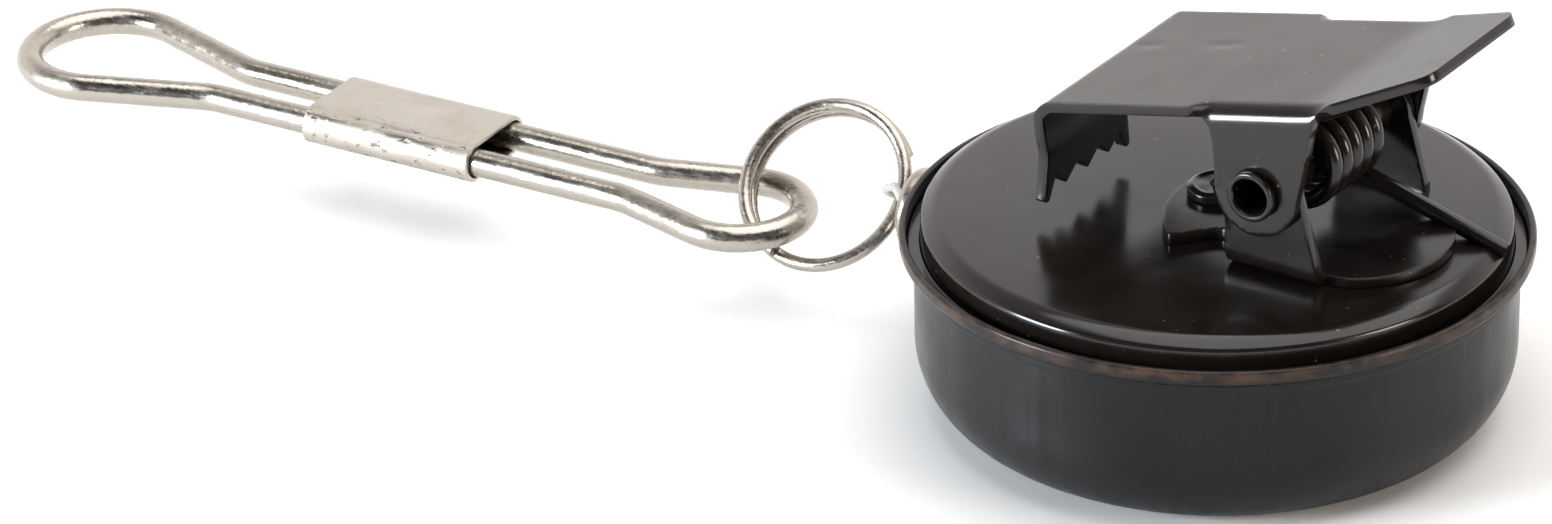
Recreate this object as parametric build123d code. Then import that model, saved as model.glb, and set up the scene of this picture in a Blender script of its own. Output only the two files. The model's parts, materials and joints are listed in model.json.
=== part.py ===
"""Clip-on cord reel: a pressed steel case with a sprung spool, a swivelling toothed clip on its back plate,
and a cord that ends in a split ring and a wire snap closed by a sliding sleeve.

Millimetres. The case rests on its flat front face, centred on the origin, with +Z up towards the clip.
The cord leaves the case towards -X.
"""

import os
from math import acos, asin, atan2, cos, degrees, hypot, pi, radians, sin, tan

from build123d import *

# ---- Driving dimensions -------------------------------------------------------------------------------

# Case cup
case_height = 9.8
wall_radius = 15.25
wall_thickness = 0.5
floor_thickness = 0.6
corner_radius_flat = 3.6
corner_radius_up = 4.0
lip_flare = 0.75
lip_band_height = 0.65
lip_top_width = 0.37
lip_groove_depth = 0.75
lip_flare_height = 0.65

# Back plate, a pan that sits upside down in the lip
plate_thickness = 0.5
plate_rise = 1.15
plate_groove_width = 0.73
plate_shoulder_width = 0.7
plate_shoulder_drop = 0.5
plate_seat_clearance = 0.05

# Cord, its exit and the reel inside
cord_diameter = 0.5
exit_drop = 3.2
ferrule_bore_radius = 0.8
ferrule_neck_radius = 1.5
ferrule_collar_radius = 1.75
ferrule_rim_radius = 2.2
ferrule_reach = 2.5
ferrule_inner_flange = 2.0
ferrule_flange_thickness = 0.4
ferrule_flange_gap = 0.25
ferrule_rim_height = 0.6
ferrule_mouth_flare = 0.25
ferrule_mouth_depth = 1.0
ferrule_rim_round = 0.45
crimp_depth = 1.2
crimp_radius = 0.6
crimp_length = 1.1
post_radius = 1.6
post_foot_radius = 3.2
post_foot_thickness = 0.35
post_slot_width = 0.35
washer_thickness = 0.3
washer_radius = 3.0
winding_depth = 1.8
drum_wall = 0.7
drum_floor = 0.6
spool_wall_gap = 0.85
spool_rim_thickness = 0.5
groove_width = 1.5
winding_margin = 1.5
cover_thickness = 0.3
post_stand = 0.3
spring_strip_width = 5.4
spring_strip_thickness = 0.14
spring_turns = 11
spring_inner_gap = 0.5
spring_outer_gap = 0.25
backing_washer_thickness = 0.3
running_clearance = 0.05
end_clearance = 0.1
seat_clearance = 0.02

# Clip on the back plate
clip_heading = -4.0
sheet = 0.55
base_front_reach = 2.0
base_fan_corner = 0.4
base_notch_x = 2.2
base_notch_half_width = 3.2
base_side_inset = 0.35
base_tail_centre = 7.6
rivet_shank_radius = 1.1
rivet_head_radius = 1.55
rivet_head_height = 0.6
rivet_edge_round = 0.25
rivet_tail_thickness = 0.25
pivot_x = 5.9
pivot_height = 4.75
pivot_radius = 1.15
pivot_tube_wall = 0.2
pivot_flare = 0.15
pivot_rim_reach = 0.55
ear_front = 3.9
ear_rear = 9.0
ear_tip_radius = 2.1
clip_width = 12.6
jaw_x = -6.75
jaw_width = 8.0
jaw_corner_radius = 1.0
jaw_top_height = 6.5
top_slope = 12.8
cheek_front = 3.4
cheek_rear = 8.9
cheek_tip_radius = 2.3
tail_x = 14.3
tail_width = 8.6
tail_kick = 12.25
tail_corner_radius = 1.0
tooth_pitch = 2.0
tooth_depth = 1.1
corner_tooth_extra = 0.35
corner_tooth_share = 0.75
tooth_clearance = 1.0
bend_radius = 0.75
spring_wire_radius = 0.43
spring_coil_gap = 0.42
spring_coil_turns = 5
spring_coil_pitch = 1.0
spring_leg_overhang = 1.7
spring_leg_lift = 0.1
spring_upper_leg = 6.0
spring_upper_angle = 31.0

# Cord end, split ring and snap
grip_angle = 10.0
loop_radius = 0.95
loop_cord_radius = 0.22
neck_share = 1.5
ring_wire = 0.73
ring_outer_diameter = 9.55
ring_lean = 45.0
ring_turns = 1.6
ring_start_angle = 38.0
ring_layer_gap = 0.04
ring_reach = 5.65
ring_centre_y = 1.2
ring_drop = 0.7
snap_wire = 1.5
snap_drop = 1.3
snap_offset = -1.0
snap_small_radius = 3.35
snap_small_reach = 4.0
snap_big_radius = 4.3
snap_length = 40.3
snap_strand_gap = 3.59
snap_small_taper = 6.0
snap_big_taper = 8.2
snap_bend_radius = 4.0
snap_end_gap = 0.6
sleeve_length = 10.5
sleeve_reach = 20.4
sleeve_sheet = 0.3
sleeve_clearance = 0.05

# ---- Worked-out places --------------------------------------------------------------------------------

plate_top = case_height + plate_rise
plate_under = plate_top - plate_thickness
ledge_z = case_height - lip_groove_depth - plate_thickness
lip_radius = wall_radius + lip_flare
lip_inner_radius = lip_radius - lip_top_width
plate_edge_radius = lip_inner_radius - plate_groove_width
inner_radius = wall_radius - wall_thickness
exit_height = case_height - exit_drop
exit_mouth = wall_radius + ferrule_reach
ferrule_back = inner_radius - ferrule_flange_thickness - ferrule_flange_gap
crimp_inner = exit_mouth - crimp_depth


def turned(points, rounds=()):
    """Revolve an outline of (radius, z) points about Z, with some corners rounded."""
    face = Face(Wire.make_polygon([Vector(r, 0, z) for r, z in points], close=True))
    for radius, corner in rounds:
        at = Vector(corner[0], 0, corner[1])
        vertex = min(face.vertices(), key=lambda v: (Vector(v.X, v.Y, v.Z) - at).length)
        face = face.fillet_2d(radius, [vertex])
    return revolve(face, Axis.Z)


def disc(outer, bottom, top, inner=0.0):
    """A flat round disc, or a washer when it has an inner radius."""
    height = top - bottom
    body = Pos(0, 0, bottom) * Cylinder(outer, height, align=(Align.CENTER, Align.CENTER, Align.MIN))
    if inner:
        body -= Pos(0, 0, bottom) * Cylinder(inner, height, align=(Align.CENTER, Align.CENTER, Align.MIN))
    return body


def rod(start, end, radius):
    """A round bar from one point to another."""
    start, end = Vector(*start), Vector(*end)
    along = end - start
    return Solid.make_cylinder(radius, along.length, Plane(origin=start, z_dir=along))


def swept(path, radius):
    """A round wire along a path."""
    start = path @ 0
    return sweep(Plane(origin=start, z_dir=path % 0) * Circle(radius), path=path)


# ---- Case ---------------------------------------------------------------------------------------------


def make_case_cup():
    """The deep-drawn cup with its flared, rolled lip and the hole for the cord ferrule."""
    t = wall_thickness
    floor = floor_thickness
    flat = wall_radius - corner_radius_flat
    flare_z = case_height - lip_band_height
    corner = (flat, corner_radius_up)
    outer_corner = EllipticalCenterArc(corner, corner_radius_flat, corner_radius_up, 270)
    inner_corner = EllipticalCenterArc(corner, corner_radius_flat - t, corner_radius_up - floor, 270)
    outer_wall = Polyline(
        (wall_radius, corner_radius_up),
        (wall_radius, flare_z - lip_flare_height),
        (lip_radius, flare_z),
        (lip_radius, case_height),
        (lip_inner_radius, case_height),
        (lip_inner_radius, ledge_z),
        (inner_radius, ledge_z),
        (inner_radius, corner_radius_up),
    )
    floor_lines = Polyline((flat, floor), (0, floor), (0, 0), (flat, 0))
    outline = Curve() + [floor_lines, outer_corner, outer_wall, inner_corner]
    cup = revolve(make_face(Plane.XZ * outline), Axis.Z)
    hole = rod((-inner_radius + t, 0, exit_height), (-lip_radius - t, 0, exit_height), ferrule_neck_radius)
    return cup - hole


def make_back_plate():
    """The shallow pan that closes the case, with a flange on the cup's ledge and a hole for the rivet."""
    t = plate_thickness
    flange_radius = lip_inner_radius - plate_seat_clearance
    wall_inner = plate_edge_radius - t
    seat = ledge_z + seat_clearance
    shoulder = plate_edge_radius - plate_shoulder_width
    shoulder_z = plate_top - plate_shoulder_drop
    outline = [
        (rivet_shank_radius, plate_top),
        (shoulder, plate_top),
        (plate_edge_radius, shoulder_z),
        (plate_edge_radius, seat + t),
        (flange_radius, seat + t),
        (flange_radius, seat),
        (wall_inner, seat),
        (wall_inner, shoulder_z - t / 2),
        (shoulder - t / 2, plate_under),
        (rivet_shank_radius, plate_under),
    ]
    rounds = [
        (plate_shoulder_width, (shoulder, plate_top)),
        (plate_shoulder_drop / 2, (plate_edge_radius, shoulder_z)),
    ]
    return turned(outline, rounds)


def make_exit_ferrule():
    """The plated eyelet in the case wall: inner flange, neck, flared outer rim with a rounded mouth."""
    flange_end = ferrule_back + ferrule_flange_thickness
    rim_start = lip_radius + ferrule_rim_height
    outline = [
        (ferrule_bore_radius, ferrule_back),
        (ferrule_inner_flange, ferrule_back),
        (ferrule_inner_flange, flange_end),
        (ferrule_neck_radius - seat_clearance, flange_end),
        (ferrule_neck_radius - seat_clearance, wall_radius + seat_clearance),
        (ferrule_collar_radius, wall_radius + seat_clearance),
        (ferrule_collar_radius, lip_radius),
        (ferrule_rim_radius, rim_start),
        (ferrule_rim_radius, exit_mouth),
        (ferrule_bore_radius + ferrule_mouth_flare, exit_mouth),
        (ferrule_bore_radius, exit_mouth - ferrule_mouth_depth),
    ]
    rounds = [
        (ferrule_rim_round, (ferrule_rim_radius, exit_mouth)),
        (ferrule_rim_round / 2, (ferrule_rim_radius, rim_start)),
    ]
    return Pos(0, 0, exit_height) * Rot(0, -90, 0) * turned(outline, rounds)


def make_center_post():
    """The fixed arbor: a foot on the case floor and a slotted post that holds the spring's inner end."""
    foot = disc(post_foot_radius, floor_thickness, floor_thickness + post_foot_thickness)
    post = disc(post_radius, floor_thickness, post_top)
    slot_depth = post_top - strip_bottom + end_clearance
    slot = Pos(0, 0, post_top) * Box(
        post_slot_width, post_radius * 3, slot_depth * 2, align=(Align.CENTER, Align.CENTER, Align.CENTER)
    )
    return foot + post - slot


def make_swivel_rivet():
    """The rivet that the clip turns on: flat head over the clip's base, tail spread under the plate."""
    head_bottom = base_top + end_clearance / 2
    head = disc(rivet_head_radius, head_bottom, head_bottom + rivet_head_height)
    head = fillet(head.edges().group_by(Axis.Z)[-1], rivet_edge_round)
    tail_top = plate_under - backing_washer_thickness
    tail_bottom = tail_top - rivet_tail_thickness
    shank = disc(rivet_shank_radius, tail_bottom, head_bottom)
    tail = disc(rivet_head_radius, tail_bottom, tail_top)
    return head + shank + tail


def make_rivet_washer():
    """The backing washer between the plate's underside and the rivet's spread tail."""
    return disc(washer_radius, plate_under - backing_washer_thickness, plate_under, rivet_shank_radius)


def make_spool_washer():
    """The thrust washer between the post's foot and the spool."""
    bore = post_radius + running_clearance
    gap = end_clearance / 2
    return disc(washer_radius, post_foot_top + gap, post_foot_top + gap + washer_thickness, bore)


# ---- Reel inside the case -----------------------------------------------------------------------------

spool_rim_radius = inner_radius - spool_wall_gap
winding_radius = spool_rim_radius - winding_margin
drum_radius = winding_radius - winding_depth
post_foot_top = floor_thickness + post_foot_thickness
spool_bottom = post_foot_top + washer_thickness + end_clearance
strip_bottom = spool_bottom + drum_floor + end_clearance
strip_top = strip_bottom + spring_strip_width
cover_bottom = strip_top + end_clearance
cover_top = cover_bottom + cover_thickness
post_top = cover_top + post_stand
groove_bottom = exit_height - groove_width / 2
groove_top = exit_height + groove_width / 2
drum_top = max(cover_top, groove_top + spool_rim_thickness)
drum_inner = drum_radius - drum_wall


def make_spool():
    """The drum that holds the spring, with two rims outside it that guide the cord."""
    bore = post_radius + running_clearance
    drum = disc(drum_radius, spool_bottom, drum_top, drum_inner)
    floor = disc(drum_radius, spool_bottom, spool_bottom + drum_floor, bore)
    lower = disc(spool_rim_radius, groove_bottom - spool_rim_thickness, groove_bottom, drum_inner)
    upper = disc(spool_rim_radius, groove_top, groove_top + spool_rim_thickness, drum_inner)
    return drum + floor + lower + upper


def make_spring_cover():
    """The disc that closes the drum over the spring, pressed into the drum's mouth."""
    return disc(drum_inner - seat_clearance, cover_bottom, cover_top, post_radius + running_clearance)


def make_mainspring():
    """The flat spiral spring, from the slot in the post out to the drum's wall."""
    inner = post_radius + spring_inner_gap
    outer = drum_inner - spring_outer_gap
    half = spring_strip_thickness / 2
    points_per_turn = 12
    steps = spring_turns * points_per_turn

    def spiral(offset):
        points = []
        for i in range(steps + 1):
            angle = 2 * pi * spring_turns * i / steps
            radius = inner + (outer - inner) * i / steps + offset
            points.append(Vector(radius * cos(angle), radius * sin(angle), strip_bottom))
        return Spline(points)

    inside, outside = spiral(-half), spiral(half)
    ends = [Line(inside @ 0, outside @ 0), Line(inside @ 1, outside @ 1)]
    face = make_face(Wire([*inside.edges(), ends[1].edge(), *outside.edges(), ends[0].edge()]))
    return extrude(face, spring_strip_width, dir=(0, 0, 1))


def make_cord_winding():
    """The cord wound on the drum between the rims, as one solid ring."""
    gap = end_clearance / 2
    return disc(winding_radius, groove_bottom + gap, groove_top - gap, drum_radius + seat_clearance)


def make_cord_lead():
    """The cord from the winding's edge to the crimp in the ferrule."""
    touch_radius = winding_radius + cord_diameter / 2 + seat_clearance
    turn = acos(touch_radius / ferrule_back)
    start = (-touch_radius * cos(turn), touch_radius * sin(turn), exit_height)
    knee = (-ferrule_back, 0, exit_height)
    end = (-crimp_inner, 0, exit_height)
    path = FilletPolyline(start, knee, end, radius=cord_diameter * 2)
    return swept(path, cord_diameter / 2)


# ---- Clip ---------------------------------------------------------------------------------------------

base_bottom = plate_top + end_clearance / 2
base_top = base_bottom + sheet
pivot_z = plate_top + pivot_height
half_width = clip_width / 2
cheek_inner = half_width - sheet
ear_outer = cheek_inner - end_clearance
ear_inner = ear_outer - sheet
base_tail_radius = ear_outer - base_side_inset
pivot_bore_radius = pivot_radius - pivot_tube_wall
pivot_rim_radius = pivot_radius + pivot_flare
spring_coil_radius = pivot_radius + spring_coil_gap + spring_wire_radius


def turn_clip(shape):
    """Turn a piece of the clip from its own axis to the way that the clip points."""
    return Rot(0, 0, clip_heading) * shape


def side_plate(outline, near, far):
    """A flat plate in the XZ plane between two Y values, from a list of (x, z) points."""
    face = Face(Wire.make_polygon([Vector(x, near, z) for x, z in outline], close=True))
    return extrude(face, far - near, dir=(0, 1, 0))


def cross_bar(radius, near, far):
    """A round bar across the clip, on the pivot's axis."""
    return rod((pivot_x, near, pivot_z), (pivot_x, far, pivot_z), radius)


def both_sides(shape):
    """A piece and its mirror image on the clip's other side."""
    return shape + mirror(shape, Plane.XZ)


def make_clip_base():
    """The base sheet: a fan-shaped front on the rivet, a round tail, and two upright ears for the pivot."""
    fan_half_width = base_tail_radius
    far_corner = (base_fan_corner, fan_half_width)
    near_corner = (base_fan_corner, -fan_half_width)
    arc = ThreePointArc(far_corner, (-base_front_reach, 0), near_corner)
    sides = Polyline(
        near_corner,
        (base_notch_x, -base_notch_half_width),
        (base_tail_centre, -base_notch_half_width),
        (base_tail_centre, base_notch_half_width),
        (base_notch_x, base_notch_half_width),
        far_corner,
    )
    front = make_face(Curve() + [arc, sides])
    tail = Pos(base_tail_centre, 0) * Circle(base_tail_radius)
    hole = Circle(rivet_shank_radius + running_clearance)
    sheet_face = front + tail - hole
    floor = extrude(Pos(0, 0, base_bottom) * sheet_face, sheet)
    ear = side_plate(
        [
            (ear_front, base_bottom),
            (ear_rear, base_bottom),
            (pivot_x + ear_tip_radius, pivot_z),
            (pivot_x - ear_tip_radius, pivot_z),
        ],
        ear_inner,
        ear_outer,
    )
    ear += cross_bar(ear_tip_radius, ear_inner, ear_outer)
    foot = Pos((ear_front + ear_rear) / 2, ear_outer - sheet, base_bottom) * Box(
        ear_rear - ear_front, 2 * sheet, sheet, align=(Align.CENTER, Align.CENTER, Align.MIN)
    )
    base = floor + both_sides(ear + foot)
    base -= cross_bar(pivot_radius, -half_width, half_width)
    return turn_clip(base)


def make_clip_pivot_pin():
    """The hollow pivot tube, flared at both ends outside the lever's cheeks."""
    reach = half_width + pivot_rim_reach
    tube = cross_bar(pivot_radius, -reach, reach)
    rim_start = half_width + end_clearance / 2
    tube += cross_bar(pivot_rim_radius, rim_start, reach) + cross_bar(pivot_rim_radius, -reach, -rim_start)
    tube -= cross_bar(pivot_bore_radius, -reach - sheet, reach + sheet)
    return turn_clip(tube)


def top_height(x):
    """Height of the lever's outer face, which climbs from the jaw and kicks up once more in the tail."""
    climb = tan(radians(top_slope)) * (x - jaw_x)
    kick = max(0.0, x - cheek_rear) * tan(radians(tail_kick))
    return plate_top + jaw_top_height + climb + kick


def make_clip_lever():
    """The sprung lever: toothed jaw at the front, sloping top, cheeks on the pivot and a tapered tail."""
    t = sheet
    tooth_tip = plate_top + tooth_clearance
    slope = radians(top_slope)
    tail_slope = atan2(top_height(tail_x) - top_height(cheek_rear), tail_x - cheek_rear)
    outside = [(jaw_x, tooth_tip), (jaw_x, top_height(jaw_x)), (cheek_rear, top_height(cheek_rear))]
    outside.append((tail_x, top_height(tail_x)))
    # The inner face runs one sheet thickness inside the outer one.
    mid = (slope + tail_slope) / 2
    inside = [
        (tail_x + t * sin(tail_slope), top_height(tail_x) - t * cos(tail_slope)),
        (cheek_rear + t * sin(mid), top_height(cheek_rear) - t * cos(mid)),
        (jaw_x + t, top_height(jaw_x) + t * tan(slope) - t / cos(slope)),
        (jaw_x + t, tooth_tip),
    ]
    strip = side_plate(outside + inside, -half_width, half_width)
    jaw_edges = strip.edges().filter_by(Axis.Y).group_by(Axis.X)[0].group_by(Axis.Z)[-1]
    strip = fillet(jaw_edges, bend_radius)
    inside_bend = (jaw_x + t, 0, top_height(jaw_x) - t / 2)
    inner_edge = strip.edges().filter_by(Axis.Y).sort_by_distance(inside_bend)[0]
    strip = fillet(inner_edge, bend_radius - t)
    # Seen from above, the strip narrows behind the cheeks to the tail.
    plan = make_face(
        Polyline(
            (jaw_x - sheet, half_width),
            (cheek_rear, half_width),
            (tail_x, tail_width / 2),
            (tail_x, -tail_width / 2),
            (cheek_rear, -half_width),
            (jaw_x - sheet, -half_width),
            close=True,
        )
    )
    strip &= extrude(Pos(0, 0, plate_top) * plan, 2 * top_height(tail_x))
    tail_edges = strip.edges().filter_by(Axis.Z, tolerance=25).group_by(Axis.X)[-1]
    strip = fillet(tail_edges, tail_corner_radius)
    # The jaw is narrower than the top and flush with its near side.
    jaw_far = -half_width + jaw_width
    bend_z = top_height(jaw_x) - bend_radius
    gap = Pos(jaw_x, (jaw_far + half_width) / 2, (tooth_tip + bend_z) / 2) * Box(
        4 * t, half_width - jaw_far, bend_z - tooth_tip
    )
    corner = gap.edges().filter_by(Axis.X).group_by(Axis.Z)[-1].group_by(Axis.Y)[0]
    strip -= fillet(corner, jaw_corner_radius)
    # Teeth: V notches across the jaw, with the inner teeth cut shorter than the two corner ones.
    notch_count = int(jaw_width / tooth_pitch)
    first_valley = -half_width + (jaw_width - (notch_count - 1) * tooth_pitch) / 2
    low = tooth_tip - t
    inner_tip = tooth_tip + corner_tooth_extra
    for i in range(notch_count):
        valley = first_valley + i * tooth_pitch
        reach = tooth_pitch / 2
        notch = [(valley, tooth_tip + tooth_depth)]
        for side in (1, -1):
            outermost = (i == 0 and side < 0) or (i == notch_count - 1 and side > 0)
            tip = tooth_tip if outermost else inner_tip
            edge = valley + side * reach * (corner_tooth_share if outermost else 1.0)
            corners = [(edge, tip), (edge, low)]
            notch += corners if side > 0 else corners[::-1]
        face = Face(Wire.make_polygon([Vector(jaw_x - t, y, z) for y, z in notch], close=True))
        strip -= extrude(face, 3 * t, dir=(1, 0, 0))
    # Cheeks, bent down from the top's edges, with a pressed swelling around the pivot hole.
    cheek = side_plate(
        [
            (cheek_front, top_height(cheek_front) - t / 2),
            (cheek_rear, top_height(cheek_rear) - t / 2),
            (pivot_x + cheek_tip_radius, pivot_z),
            (pivot_x - cheek_tip_radius, pivot_z),
        ],
        cheek_inner,
        half_width,
    )
    cheek += cross_bar(cheek_tip_radius, cheek_inner, half_width)
    lever = strip + both_sides(cheek)
    lever -= cross_bar(pivot_radius + running_clearance, -half_width - sheet, half_width + sheet)
    return turn_clip(lever)


def make_clip_spring():
    """The torsion spring round the pivot: one leg over the base's tail, the other under the lever's."""
    r = spring_coil_radius
    # The lower leg leaves the coil's underside as a tangent that comes down to the plate at its end.
    foot_z = plate_top + spring_wire_radius + spring_leg_lift
    leg_end = base_tail_centre + base_tail_radius + spring_leg_overhang
    reach = leg_end - pivot_x
    drop = pivot_z - foot_z
    lean = asin(r / hypot(reach, drop)) - atan2(drop, reach)
    # The upper leg leaves the coil's top and rises to the underside of the lever's tail.
    turns = spring_coil_turns + (180 + degrees(lean) - spring_upper_angle) / 360
    length = turns * spring_coil_pitch
    coil_start = Pos(pivot_x, -length / 2, pivot_z) * Rot(-90, 0, 0) * Rot(0, 0, -90 - spring_upper_angle)
    coil = coil_start * Helix(spring_coil_pitch, length, r, lefthand=True)
    upper_end = coil @ 0 - (coil % 0) * spring_upper_leg
    lower_run = (leg_end - (coil @ 1).X) / (coil % 1).X
    lower_end = coil @ 1 + (coil % 1) * lower_run
    upper_leg = Line(upper_end, coil @ 0)
    lower_leg = Line(coil @ 1, lower_end)
    path = Wire([upper_leg.edge(), coil.edge(), lower_leg.edge()])
    return turn_clip(swept(path, spring_wire_radius))


# ---- Cord end, ring and snap --------------------------------------------------------------------------

ring_radius = (ring_outer_diameter - ring_wire) / 2
ring_centre = Vector(-exit_mouth - ring_reach, ring_centre_y, exit_height - ring_drop)
ring_right = Vector(1, 0, 0)
ring_rise = Vector(0, cos(radians(ring_lean)), sin(radians(ring_lean)))
ring_axis = ring_right.cross(ring_rise)
snap_height = ring_centre.Z - snap_drop
snap_small_x = ring_centre.X - snap_small_reach
snap_big_x = snap_small_x - snap_length
sleeve_x = snap_small_x - sleeve_reach


def ring_point(angle):
    """A point on the ring's middle line; 0 is the point nearest the case, 90 the highest."""
    a = radians(angle)
    return ring_centre + ring_right * (ring_radius * cos(a)) + ring_rise * (ring_radius * sin(a))


def ring_tangent(angle):
    """The direction of the ring's wire at an angle."""
    a = radians(angle)
    return ring_rise * cos(a) - ring_right * sin(a)


def make_cord_crimp():
    """The crimped bead that closes the cord's end loop and stops in the ferrule's mouth."""
    return rod((-crimp_inner, 0, exit_height), (-crimp_inner - crimp_length, 0, exit_height), crimp_radius)


def make_cord_loop():
    """The cord's end loop round the ring's wire, with its neck back through the ferrule to the crimp."""
    grip = ring_point(grip_angle)
    along = ring_tangent(grip_angle)
    loop = Plane(origin=grip, z_dir=along) * Torus(loop_radius, loop_cord_radius)
    crimp_face = Vector(-crimp_inner - crimp_length, 0, exit_height)
    clear_of_mouth = Vector(-exit_mouth - 2 * loop_cord_radius, 0, exit_height)
    toward = clear_of_mouth - grip
    in_plane = (toward - along * toward.dot(along)).normalized()
    meet = grip + in_plane * loop_radius
    neck_radius = loop_cord_radius * neck_share
    neck = swept(FilletPolyline(crimp_face, clear_of_mouth, meet, radius=neck_radius), neck_radius)
    return loop + neck


def make_split_ring():
    """The split ring: one round wire coiled a little more than one and a half turns."""
    layer = ring_wire + ring_layer_gap
    height = layer * ring_turns
    frame = Plane(origin=ring_centre - ring_axis * (height / 2), x_dir=ring_right, z_dir=ring_axis)
    path = frame * Rot(0, 0, ring_start_angle) * Helix(layer, height, ring_radius)
    return swept(path, ring_wire / 2)


def loop_touch(bend_x, loop_x, radius, side):
    """Where the slanting side that starts at a strand's bend touches its loop."""
    bend_y = side * snap_strand_gap / 2
    dx, dy = loop_x - bend_x, -bend_y
    distance = hypot(dx, dy)
    spread = asin(radius / distance)
    turn = atan2(dy, dx) + (spread if dx * side > 0 else -spread)
    reach = (distance**2 - radius**2) ** 0.5
    return bend_x + reach * cos(turn), bend_y + reach * sin(turn)


def make_snap_wire():
    """The snap: one wire bent into a small loop and a big loop, with its two ends butting in the sleeve."""
    near, far = -snap_strand_gap / 2, snap_strand_gap / 2
    small_bend = snap_small_x - snap_small_taper
    big_bend = snap_big_x + snap_big_taper
    small_near = loop_touch(small_bend, snap_small_x, snap_small_radius, -1)
    small_far = loop_touch(small_bend, snap_small_x, snap_small_radius, 1)
    big_near = loop_touch(big_bend, snap_big_x, snap_big_radius, -1)
    big_far = loop_touch(big_bend, snap_big_x, snap_big_radius, 1)
    first_end = (sleeve_x + snap_end_gap / 2, near)
    last_end = (sleeve_x - snap_end_gap / 2, near)
    pieces = [
        FilletPolyline(first_end, (small_bend, near), small_near, radius=snap_bend_radius),
        ThreePointArc(small_near, (snap_small_x + snap_small_radius, 0), small_far),
        FilletPolyline(small_far, (small_bend, far), (big_bend, far), big_far, radius=snap_bend_radius),
        ThreePointArc(big_far, (snap_big_x - snap_big_radius, 0), big_near),
        FilletPolyline(big_near, (big_bend, near), last_end, radius=snap_bend_radius),
    ]
    middle_line = Wire([edge for piece in pieces for edge in piece.edges()])
    return swept(Pos(0, snap_offset, snap_height) * middle_line, snap_wire / 2)


def make_snap_sleeve():
    """The flattened tube that slides along the two strands and covers the wire's ends."""
    bore_half_height = snap_wire / 2 + sleeve_clearance
    bore_half_width = snap_strand_gap / 2 + bore_half_height
    outer_half_height = bore_half_height + sleeve_sheet
    outer_half_width = bore_half_width + sleeve_sheet
    outside = RectangleRounded(2 * outer_half_width, 2 * outer_half_height, outer_half_height * 0.98)
    inside = RectangleRounded(2 * bore_half_width, 2 * bore_half_height, bore_half_height * 0.98)
    face = Plane.YZ * (outside - inside)
    tube = extrude(face, sleeve_length / 2, both=True)
    return Pos(sleeve_x, snap_offset, snap_height) * tube


# ---- Write every piece --------------------------------------------------------------------------------


PIECES = {
    "case_cup": make_case_cup,
    "back_plate": make_back_plate,
    "exit_ferrule": make_exit_ferrule,
    "center_post": make_center_post,
    "swivel_rivet": make_swivel_rivet,
    "rivet_washer": make_rivet_washer,
    "spool_washer": make_spool_washer,
    "spool": make_spool,
    "spring_cover": make_spring_cover,
    "mainspring": make_mainspring,
    "cord_winding": make_cord_winding,
    "cord_lead": make_cord_lead,
    "cord_crimp": make_cord_crimp,
    "cord_loop": make_cord_loop,
    "split_ring": make_split_ring,
    "snap_wire": make_snap_wire,
    "snap_sleeve": make_snap_sleeve,
    "clip_base": make_clip_base,
    "clip_pivot_pin": make_clip_pivot_pin,
    "clip_lever": make_clip_lever,
    "clip_spring": make_clip_spring,
}


def main():
    os.makedirs("parts", exist_ok=True)
    for name, make in PIECES.items():
        export_step(make(), f"parts/{name}.step")


if __name__ == "__main__":
    main()
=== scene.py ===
"""Looks of a clip-on cord reel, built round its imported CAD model.

Every length inside the mesh code is in millimetres, in the model's own frame. A piece is scaled to metres as
its last step, so that its object sits at the origin with its place in its mesh.
"""
import json
import math

import bmesh
import bpy
import numpy as np
from bpy.props import FloatProperty, FloatVectorProperty, IntProperty, PointerProperty
from mathutils import Matrix, Vector
from mathutils.geometry import delaunay_2d_cdt


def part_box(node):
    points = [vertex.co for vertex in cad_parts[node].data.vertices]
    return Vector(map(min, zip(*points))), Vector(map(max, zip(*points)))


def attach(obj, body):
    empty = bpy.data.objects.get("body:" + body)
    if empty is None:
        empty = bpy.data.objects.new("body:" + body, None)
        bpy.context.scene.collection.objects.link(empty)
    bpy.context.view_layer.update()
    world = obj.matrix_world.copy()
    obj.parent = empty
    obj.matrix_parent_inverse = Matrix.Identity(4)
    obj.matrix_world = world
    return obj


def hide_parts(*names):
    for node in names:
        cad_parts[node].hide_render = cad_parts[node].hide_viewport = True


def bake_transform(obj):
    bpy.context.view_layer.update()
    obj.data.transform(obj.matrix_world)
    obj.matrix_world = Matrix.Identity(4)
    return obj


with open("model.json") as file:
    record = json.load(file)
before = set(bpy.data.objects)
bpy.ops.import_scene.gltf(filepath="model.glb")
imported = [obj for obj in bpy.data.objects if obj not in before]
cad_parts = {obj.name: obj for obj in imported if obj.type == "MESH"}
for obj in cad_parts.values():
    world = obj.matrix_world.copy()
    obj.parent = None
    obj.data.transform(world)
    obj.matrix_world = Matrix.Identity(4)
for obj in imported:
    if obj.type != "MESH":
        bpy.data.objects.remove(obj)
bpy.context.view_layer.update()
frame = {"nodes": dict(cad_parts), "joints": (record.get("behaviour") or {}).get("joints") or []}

bl_info = {
    "name": "Clip-on cord reel",
    "version": (1, 0, 0),
    "blender": (4, 5, 0),
    "location": "View3D > Sidebar > Cord reel",
    "description": "Builds a small retractable cord reel with a spring clip, a split ring and a wire snap",
    "category": "Add Mesh",
}

MM = 0.001
JOINTS = {joint["name"]: joint for joint in frame["joints"]}


def node_box(node):
    """Lowest and highest corner of a CAD node, in millimetres."""
    low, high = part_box(node)
    return low / MM, high / MM


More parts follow.
